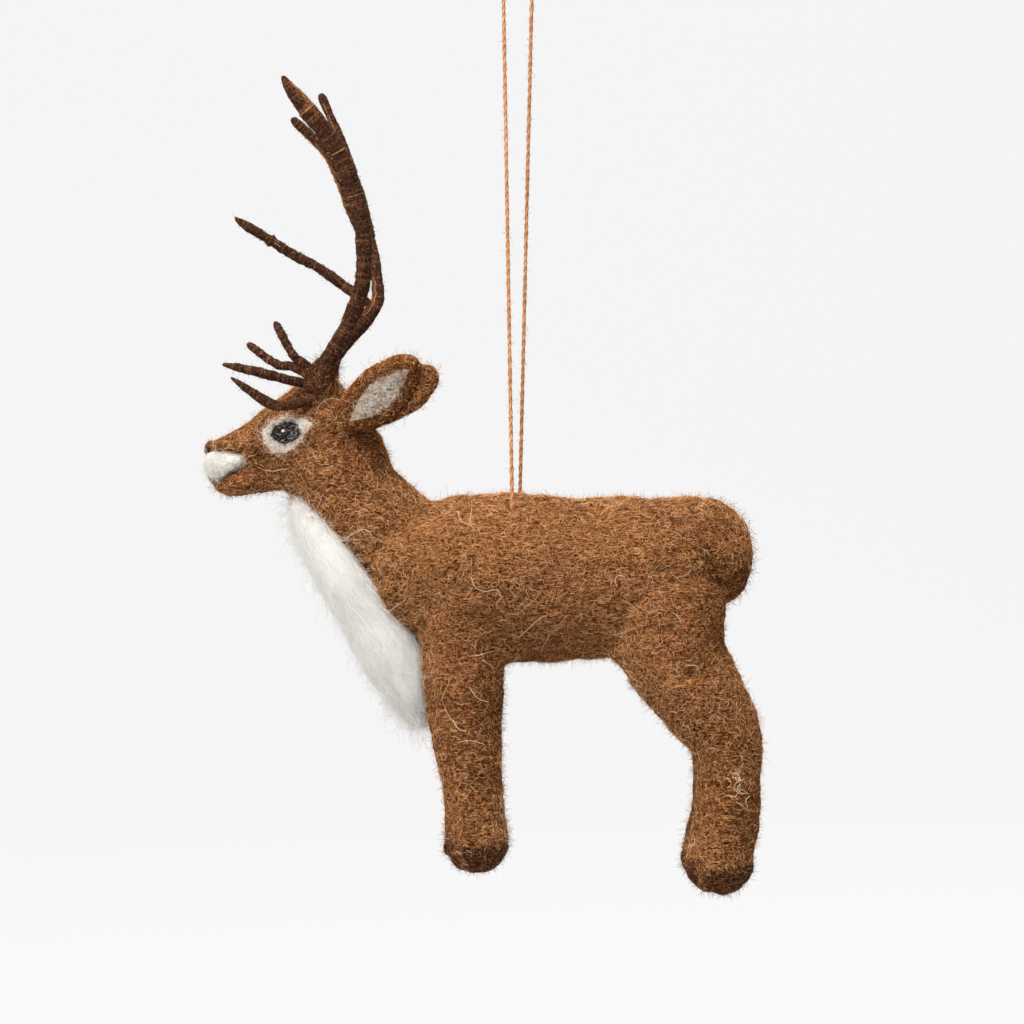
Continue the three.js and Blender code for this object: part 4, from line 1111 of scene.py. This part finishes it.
for name, y in sides:
    own = earPlan[name]
    lift, flare = math.radians(own["lift"]), math.radians(earPlan["flare"])
    axis = Vector((math.cos(lift) * math.cos(flare), y * math.sin(flare), math.sin(lift) * math.cos(flare)))
    out = Vector((0, y, 0))
    out = (out - axis * out.dot(axis)).normalized()
    brow = axis.cross(out) * -y
    brow = brow if brow.z > 0 else -brow
    middle = Vector(own["middle"])
    rows = [tuple(middle + axis * a) + (d, earPlan["thick"]) for a, d in own["rows"]]
    ear = felted(name + "_ear_felt", rollLump({"ends": earPlan["ends"], "stations": rows}, 0.9, 2.0), 0.6, 3,
                 [(8, 0.5), (2.4, 0.4)])
    co = corners(ear)
    s, v, o = (toAnimal(co) - np.array(middle)) @ np.array((axis, brow, out)).T[:, :, None].transpose(1, 0, 2)
    half, wide, shift = own["lining"]
    s, v, o = s[:, 0], v[:, 0], o[:, 0]
    cup = np.clip(1 - (s / (half + 0.8)) ** 2 - ((v - shift) / (wide + 1.0)) ** 2, 0, 1) * np.clip(o + 0.6, 0, 1)
    setCorners(ear, co - np.array(out)[None] * (np.sqrt(cup) * earPlan["cup"] * mm)[:, None])

    # Painted shade: the near ear's mix darkens toward its lower rim
    def earTones(points):  # darker along the near ear's lower rim
        low = np.clip((0.6 - (points - np.array(middle)) @ np.array(brow)) / 3.0, 0, 1)[:, None]
        return np.array(own["upper"]) * (1 - low) + np.array(own["lower"]) * low

    def leaf(turn):
        power = earPlan["leaf"]
        base = 1 / (abs(math.cos(turn) / half) ** power + abs(math.sin(turn) / wide) ** power) ** (1 / power)
        return base * (1 + 0.03 * math.sin(7 * turn + 1.2) + 0.025 * math.sin(13 * turn))
    napOver(ear, "rust", "rust_wool", name + "_ear", wool + strands["dark"][:2], earTones,
            density=4.2, length=(0.9, 2.4), thick=(0.034, 0.064), fuzz=0.5, covers=[felt["head"]])
    lining = letIn(name + "_ear_lining_felt", treeOf(ear), middle + brow * shift, axis, brow, out, leaf, 0.45, 0.7)
    napOver(lining, "grey", "grey_wool", name + "_ear_lining", strands["grey"], (0.28, 0.4, 0.32),
            density=6.0, length=(1.6, 3.8), thick=(0.024, 0.04), fuzz=0.12,
            keep=outward(out), flow=np.array(axis), stray=0.45)
    workedIn(name + "_ear_edge", (lining, ear), 0.45, 4.0, (strands["stray"], wool[:2] + wool[5:6]), "grey_wool")
print("ears felted")

# Throat mane: smooth white roving down the throat and chest
manePlan = {"strands": 5000, "fluff": 8600, "wisps": 2400, "frizz": 420, "ends": (2, 1.2), "stations": [
    (-43.4, 0, -1.4, 2.8, 5.2), (-39.4, 0, -9.0, 4.8, 10.6), (-34.5, 0, -16.6, 5.6, 12.8),
    (-28.9, 0, -24.5, 6.8, 13.6), (-23.7, 0, -32.9, 7.2, 13.4),
    (-20.2, 0, -40.1, 5.6, 11.4), (-18.9, 0, -45.0, 3.0, 7.4)]}
mane = felted("mane_wool", rollLump(manePlan, 1.3, 3), 1.0, 6, [(8, 0.6)])
dress(mane, finishes["white"], "white_wool", "throat_mane")
maneLine = alongSpine(manePlan["stations"], 0.5)
maneWay = unit(np.gradient(maneLine[:, :3], axis=0))


def maneFlow(points):
    apart = toAnimal(points)[:, None, [0, 2]] - maneLine[None, :, [0, 2]]
    return maneWay[np.argmin(np.linalg.norm(apart, axis=2), axis=1)]


def maneSpots(kind, times=1):
    points, ways = scatter(mane, manePlan[kind] * times)
    shown = showing(points, [felt["neck"], felt["torso_coat"], felt["head"]])
    return points[shown], ways[shown], toAnimal(points[shown])


def maneStrands(kind, paths, radii, shares=(0.5, 0.5)):
    strandPiece("mane_" + kind, *paths, radii, tonePick(len(paths[0]), shares), strands["white"], "white_wool")


points, ways, _ = maneSpots("strands")
flat = mattedPaths(treeOf(mane), points, ways, spread((4, 11), len(points)), (0.00002, 0.0004), 0.06, 6,
                   maneFlow(points), 0.24)
maneStrands("strands", flat, spread((0.02, 0.038), len(points)), (0.6, 0.4))
points, ways, _ = maneSpots("fluff")
lengths = (0.8 + 2.8 * dice.random(len(points)) ** 1.6) * mm
maneStrands("fluff", loosePaths(points, ways, lengths, (0.1, 0.7), 0.45, 4, maneFlow(points), 1.1), 0.000022)
points, ways, place = maneSpots("wisps")
edge = (place[:, 2] > -8) | (place[:, 2] < -39) | (dice.random(len(points)) < 0.2)
points, ways = points[edge], ways[edge]
loose = loosePaths(points, ways, spread((3, 9), len(points)), (0.1, 0.55), 0.22, 6, maneFlow(points), 0.6)
maneStrands("wisps", loose, 0.000026)
# Frizz where the wool starts under the chin and where it runs out, and tufts down its front edge
points, ways, place = maneSpots("frizz", 10)
share = np.where(place[:, 2] > -9, 1.0, np.where(place[:, 2] < -41, 0.8, 0.25))
ahead = ways[:, 0] < 0.25
picked = np.flatnonzero((dice.random(len(points)) < share) & ahead)[:manePlan["frizz"]]
lean = maneFlow(points[picked]) * np.where(place[picked, 2:] > -20, -0.4, 0.6)
loose = loosePaths(points[picked], ways[picked], spread((2.0, 5.5), len(picked)), (0.35, 0.9), 0.55, 7, lean, 0.8)
maneStrands("frizz", loose, 0.000034, (0.6, 0.4))
for name, bed in (("neck", felt["neck"]), ("chest", felt["torso_coat"])):
    workedIn("mane_%s_edge" % name, (mane, bed), 0.8, 2.2, (strands["stray"], wool[1:4]), "white_wool", (1.6, 4.2),
             (0.03, 0.05), 0.6, maneFlow)
print("mane combed")

# Toes: dark wool over the end of each foot, in two lobes with a brown cleft between
toePlan = {"grow": 0.34, "sink": 0.06, "edge": 1.0, "slope": 0.12, "way": (0.788, -0.616), "angle": 60,
           "high": {"outer": 5.5, "inner": 6.4}, "front": (-8.4, -75.0), "hind": (39.7, -79.3),
           "split": {"outer": {"front": 0.9, "hind": -0.2}, "inner": {"front": 0.6, "hind": 0.9}}}


def toeKeep(x, y):  # not on the cut faces
    return lambda ways: (ways @ np.array((x, y, 0)) < 0.9) & (ways[:, 2] < 0.8)


for leg, legFelt in legs.items():
    pair, name, _ = leg.split("_")
    y = dict(sides)[name]
    footX, soleZ = toePlan[pair]
    way = (toePlan["way"][0], toePlan["way"][1] * -y)
    for toe, sign in (("outer", 1), ("inner", -1)):
        full = "%s_%s_%s_toe" % (pair, name, toe)
        lobe = copyOf(legFelt, full + "_felt")
        lobe.parent = None
        for key in [k for k in lobe.keys() if k.startswith("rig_")]:
            del lobe[key]
        co = corners(lobe)
        local = toAnimal(co) - np.array((footX, y * 9, soleZ))
        high, split, slope = toePlan["high"][toe], toePlan["split"][toe][pair], toePlan["slope"] * sign
        below = high + slope * local[:, 0] - local[:, 2]
        beside = (local[:, 0] * way[0] + local[:, 1] * way[1]) * sign - split
        grow = toePlan["grow"] * np.clip(np.minimum(below, beside) / toePlan["edge"], 0, 1) - toePlan["sink"]
        setCorners(lobe, co + cornerWays(lobe) * grow[:, None] * mm)
        trimmed(lobe, (footX, 0, soleZ + high), (slope, 0, -1))
        trimmed(lobe, (footX + way[0] * split * sign, y * 9 + way[1] * split * sign, soleZ),
                (way[0] * sign, way[1] * sign, 0))
        pick(lobe)
        bpy.ops.object.shade_smooth_by_angle(angle=math.radians(toePlan["angle"]))
        napOver(lobe, "dark", "dark_wool", full, strands["dark"] + wool[:2], (0.18, 0.4, 0.2, 0.1, 0.12),
                density=4.2, length=(0.8, 2.2), thick=(0.03, 0.058), fuzz=0.35,
                keep=toeKeep(-way[0] * sign, -way[1] * sign))
print("toes felted")

# Antlers: wire stems wound with fine brown thread; each stem has a diameter and its line out from the root
antlers = {
    "left": {"root": (-40, -6, 21.5), "stems": {
        "antler_beam": (3.2, [
            (-0.6, 0, -1), (2.1, 1.2, 4.4), (5.9, 3, 10.7), (8.4, 5, 16.3), (9.5, 6.5, 20.3), (9.8, 8, 26.3),
            (9.1, 9.5, 32.9), (7.3, 11, 39.5), (4.4, 12.5, 46.1), (-0.9, 13.5, 52.7),
            (-4.4, 14, 57.2), (-5.9, 14.1, 59.6)]),
        "upper_brow_tine": (1.8, [(-1, 0, 0), (-4.8, 1, 0.7), (-11.5, 2, 2.4), (-18.4, 3, 3.9)]),
        "lower_brow_tine": (1.8, [
            (0.6, 1.5, -1.2), (-1.1, 3.2, -3), (-5.8, 4.2, -4.4), (-9.5, 4.6, -3.6), (-16.6, 5, 1.2)])}},
    "right": {"root": (-40, 6, 21.5), "stems": {
        "antler_beam": (2.5, [
            (0.5, 0, -1), (2.8, 1, 5), (5.2, 2, 8.9), (7.8, 3.5, 12.4), (10.8, 5, 16.2), (11.6, 5.5, 18.4),
            (11.2, 6.8, 22.9), (10.2, 8.2, 28.3), (8.7, 10, 35.4), (6.6, 11.2, 42.5), (4.1, 12.2, 49.7),
            (1.1, 13, 56.8), (-0.5, 13.3, 60.5)]),
        "upper_brow_tine": (1.8, [(-1, 0, 2.5), (-3, 0.3, 4.5), (-5.4, 1, 6.4), (-9.2, 3, 13.2)]),
        "lower_brow_tine": (1.8, [(-1, 0, 1.5), (-5.4, 1, 4), (-9, 3, 4.7), (-14.9, 5, 8.9)]),
        "middle_tine": (2.1, [
            (11.1, 5, 15.9), (6.3, 4.8, 19.4), (-0.3, 4, 24.1), (-5.5, 3.5, 26.8), (-10, 3, 29.6),
            (-15.9, 2, 33.2), (-17.2, 1.9, 34.3)]),
        "fork_tine": (2.2, [
            (10.2, 8.2, 28.3), (7.2, 8.8, 33.6), (5.7, 8.8, 37.1), (3.1, 8.4, 44), (0.2, 7.8, 48.8),
            (-6.0, 7, 54.8)])}},
}
threadPlan = {"pitch": 0.28, "perTurn": 4, "sides": 10, "ridge": 0.07, "shares": (0.76, 0.235, 0.005), "fuzz": 2.1,
              "fuzzThick": 0.000018, "crossThick": 0.00006, "crossSteps": 42, "fibreSteps": 12}
# Swellings and thin ends along a stem: share of its length, growth, span
stemKnots = {
    "left_antler_beam": [(0.0, 0.28, 5.0), (0.86, 0.14, 3.5)],
    "right_antler_beam": [(0.24, 0.4, 5.0), (1.0, -0.2, 1.0)],
    "right_middle_tine": [(0.745, 0.3, 0.35), (0.66, 0.12, 0.4), (0.86, 0.14, 2.2), (1.0, -0.55, 1.7)],
    "left": [(1.0, -0.5, 2.2), (0.62, 0.16, 4.0)], "right": [(1.0, -0.3, 0.9), (0.86, 0.1, 2.0)],
}
stemTaper = {"left_antler_beam": 0.04, "right_antler_beam": 0.3}
tineTaper = 0.18
# Golden fibres laid along a stem, on the side that faces one way: share from, share to, way, count
laidFibres = {
    "left_antler_beam": [(0.82, 0.985, (0.55, -0.65, 0.5), 16), (0.12, 0.5, (-0.4, -0.8, 0.2), 4)],
    "right_fork_tine": [(0.12, 0.97, (-0.72, -0.6, -0.35), 12)],
    "right_antler_beam": [(0.7, 0.97, (-0.5, -0.8, 0.0), 9), (0.14, 0.46, (-0.75, -0.6, 0.2), 9)],
    "right_middle_tine": [(0.66, 0.78, (0.2, -0.8, 0.5), 5), (0.0, 0.3, (0.1, -0.9, 0.3), 5)],
}
burrRows = [(0.9, 1.2, -4.8, 2.4, 2.4), (0.5, 0.8, -2.4, 3.3, 3.0), (0.6, 0.5, 0.6, 3.2, 2.9),
            (1.9, 0.7, 4.0, 2.1, 2.0)]
threads = []
for name, dark, light in (("darkThread", (36, 20, 13), (84, 53, 37)), ("brownThread", (58, 34, 22), (118, 79, 55)),
                          ("goldThread", (122, 82, 48), (190, 140, 92))):
    thread, tree, skin = startFinish(name, 0.85, 0.06)
    twist = noise(tree, objectPlace(tree), 2100.0, 3.0)
    feed(tree, skin.inputs["Base Color"], ramp(tree, twist, (0.36, dark), (0.66, light)))
    threads.append(thread)


def woundStem(name, points, diameter, taper, paddle, knots):
    plan = threadPlan
    rows = alongSpine(points, plan["pitch"] / plan["perTurn"])
    count, sides = len(rows), plan["sides"]
    way, up, side = carried(rows, (0.3, 0.9, 0.1))
    run = np.arange(count) * np.linalg.norm(rows[1] - rows[0])
    share = run / run[-1]
    seed = dice.uniform(0, 6)
    wide = diameter / 2 * (1 - taper * np.clip((share - 0.3) / 0.7, 0, 1) ** 1.3)
    if paddle:
        wide *= 1 - 0.78 * np.clip((share - 0.925) / 0.075, 0, 1) ** 1.2
    wide *= 1 + 0.04 * np.sin(run * 0.9 + seed) + 0.025 * np.sin(run * 2.7 + 2 * seed) + 0.015 * np.sin(run * 6.1)
    for where, grow, span in knots:
        wide += diameter / 2 * grow * np.exp(-((share - where) * run[-1] / span) ** 2)
    tip = np.clip((run[-1] - run) / 0.4, 0, 1)
    wide *= np.sqrt(1 - (1 - tip) ** 2 * 0.7)
    angles = np.linspace(0, 2 * math.pi, sides, endpoint=False)
    turns = run[:, None] / plan["pitch"] - angles[None] / (2 * math.pi) + 0.35 * np.sin(run * 0.8 + seed)[:, None]
    part = turns - np.floor(turns)
    ridge = np.sqrt(np.clip(1 - (2 * part - 1) ** 2, 0, 1)) * plan["ridge"] - plan["ridge"] * 0.5
    lump = 0.05 * np.sin(angles * 2 + run[:, None] * 0.5 + seed) * diameter / 2
    reach = np.maximum(wide[:, None] + lump * tip[:, None] + ridge * (0.3 + 0.7 * tip[:, None]), 0.05)
    verts = rows[:, None] + reach[..., None] * ringOf(angles[None], up, side)
    verts = np.vstack([verts.reshape(-1, 3), rows[:1], rows[-1:] + way[-1:] * 0.12])
    turnTone = dice.choice(len(threads), int(turns.max()) + 4, p=plan["shares"])
    tones = []
    for k in range(sides):
        tone = turnTone[np.floor(turns[:-1, k]).astype(int) + 1]
        tones += [tone, tone, np.array((0, 1))]
    piece = triangleMesh(name, toRow(verts), tubeFaces(count, sides))
    toned(piece, np.concatenate(tones), threads)
    return piece, rows, wide, up, side


def crossings(name, rows, wide, up, side):
    paths, ups = [], []
    steps, turns, count = threadPlan["crossSteps"], len(rows) * 0.075 / 5, 4 + int(len(rows) / 90)
    for i in range(count):
        begin, end = sorted(dice.uniform(0.02, 0.98, 2))
        span = np.linspace(begin, min(1, max(end, begin + 0.2)), steps) * (len(rows) - 1)
        spin = (dice.uniform(0, 6.28) + np.linspace(0, 1, steps) * turns * dice.choice((-1, 1)) * 2 * math.pi
                * (span[-1] - span[0]) / len(rows))
        ids = span.astype(int)
        ring = np.cos(spin)[:, None] * up[ids] + np.sin(spin)[:, None] * side[ids]
        paths.append(rows[ids] + ring * (wide[ids, None] + 0.07))
        ups.append(ring)
    strandPiece(name, toRow(np.array(paths)), np.array(ups), threadPlan["crossThick"],
                dice.choice(len(threads), count, p=(0.45, 0.45, 0.1)), threads, "antler_thread")


def laidAlong(name, rows, wide, rules):
    paths, ups = [], []
    way, steps = unit(np.gradient(rows, axis=0)), threadPlan["fibreSteps"]
    for begin, end, toward, count in rules:
        for i in range(count):
            first = dice.uniform(begin, begin + (end - begin) * 0.6)
            last = min(end, first + (end - begin) * dice.uniform(0.3, 0.6))
            ids = (np.linspace(first, last, steps) * (len(rows) - 1)).astype(int)
            facing = unit(np.array(toward) + dice.normal(0, 0.3, 3)) + dice.normal(0, 0.12, (steps, 3))
            ring = squareTo(facing, way[ids])
            paths.append(rows[ids] + ring * (wide[ids, None] + 0.05))
            ups.append(ring)
    tones = dice.choice(4, len(paths), p=(0.4, 0.3, 0.2, 0.1))
    strandPiece(name, toRow(np.array(paths)), np.array(ups), spread((0.035, 0.06), len(paths)), tones,
                threads[2:] + wool[1:4], "antler_thread")


for name, y in sides:
    rootX, rootY, rootZ = antlers[name]["root"]
    for stem, (diameter, steps) in antlers[name]["stems"].items():
        points = [(rootX + b, rootY + y * o, rootZ + u) for b, o, u in steps]
        full = "%s_%s" % (name, stem)
        piece, *stemForm = woundStem(full + "_thread", points, diameter, stemTaper.get(full, tineTaper),
                                     full == "left_antler_beam", stemKnots.get(full, stemKnots[name]))
        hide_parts(full)
        crossings(full + "_crossings", *stemForm)
        if full in laidFibres:
            laidAlong(full + "_fibres", *stemForm[:2], laidFibres[full])
        spots, ways = scatter(piece, int(areaOf(piece) * threadPlan["fuzz"]))
        loose = loosePaths(spots, ways, spread((0.5, 1.6), len(spots)), (0.1, 0.6), 0.4, 4)
        strandPiece(full + "_fuzz", *loose, threadPlan["fuzzThick"], tonePick(len(spots), (0.35, 0.35, 0.2, 0.1)),
                    strands["dark"] + wool[3:4], "antler_thread")
    stations = [(rootX + b, rootY + y * o, rootZ + u, d, w) for b, o, u, d, w in burrRows]
    burr = felted(name + "_burr_felt", rollLump({"ends": (2.0, 2.0), "stations": stations}, 0.8, 2.2),
                  0.6, 4, [(8, 0.4)])
    napOver(burr, "dark", "dark_wool", name + "_antler_burr", strands["dark"] + wool[:2] + wool[5:],
            (0.36, 0.3, 0.05, 0.16, 0.05, 0.05, 0.03), density=4.2, length=(1.0, 2.8), thick=(0.03, 0.055), fuzz=0.5,
            covers=[felt["head"]])
    workedIn(name + "_burr_edge", (burr, felt["head"]), 0.8, 3.6, (strands["dark"], wool[1:3] + wool[5:]),
             "dark_wool", (1.2, 2.8))
print("antlers wound")

bpy.data.objects.remove(whole, do_unlink=True)  # the uncut coat has done its work

# Inner frame: soft wire and undyed core wool
wire, tree, skin = startFinish("softWire", 0.34, 0.5)
skin.inputs["Metallic"].default_value = 1.0
feed(tree, skin.inputs["Base Color"],
     ramp(tree, noise(tree, objectPlace(tree), 900.0, 4.0), (0.0, (150, 152, 154)), (1.0, (206, 207, 208))))
for name in ("spine_wire", "front_leg_wire", "hind_leg_wire", "left_antler_wire", "right_antler_wire",
             "body_core"):
    shown = bpy.data.objects[name]
    shown.data.materials.clear()
    shown.data.materials.append(finishes["core"] if name == "body_core" else wire)

shownMeshes = [o.data for o in scene.objects if o.type == "MESH" and not o.hide_render]
print("triangles shown:", sum(len(p.vertices) - 2 for mesh in shownMeshes for p in mesh.polygons))
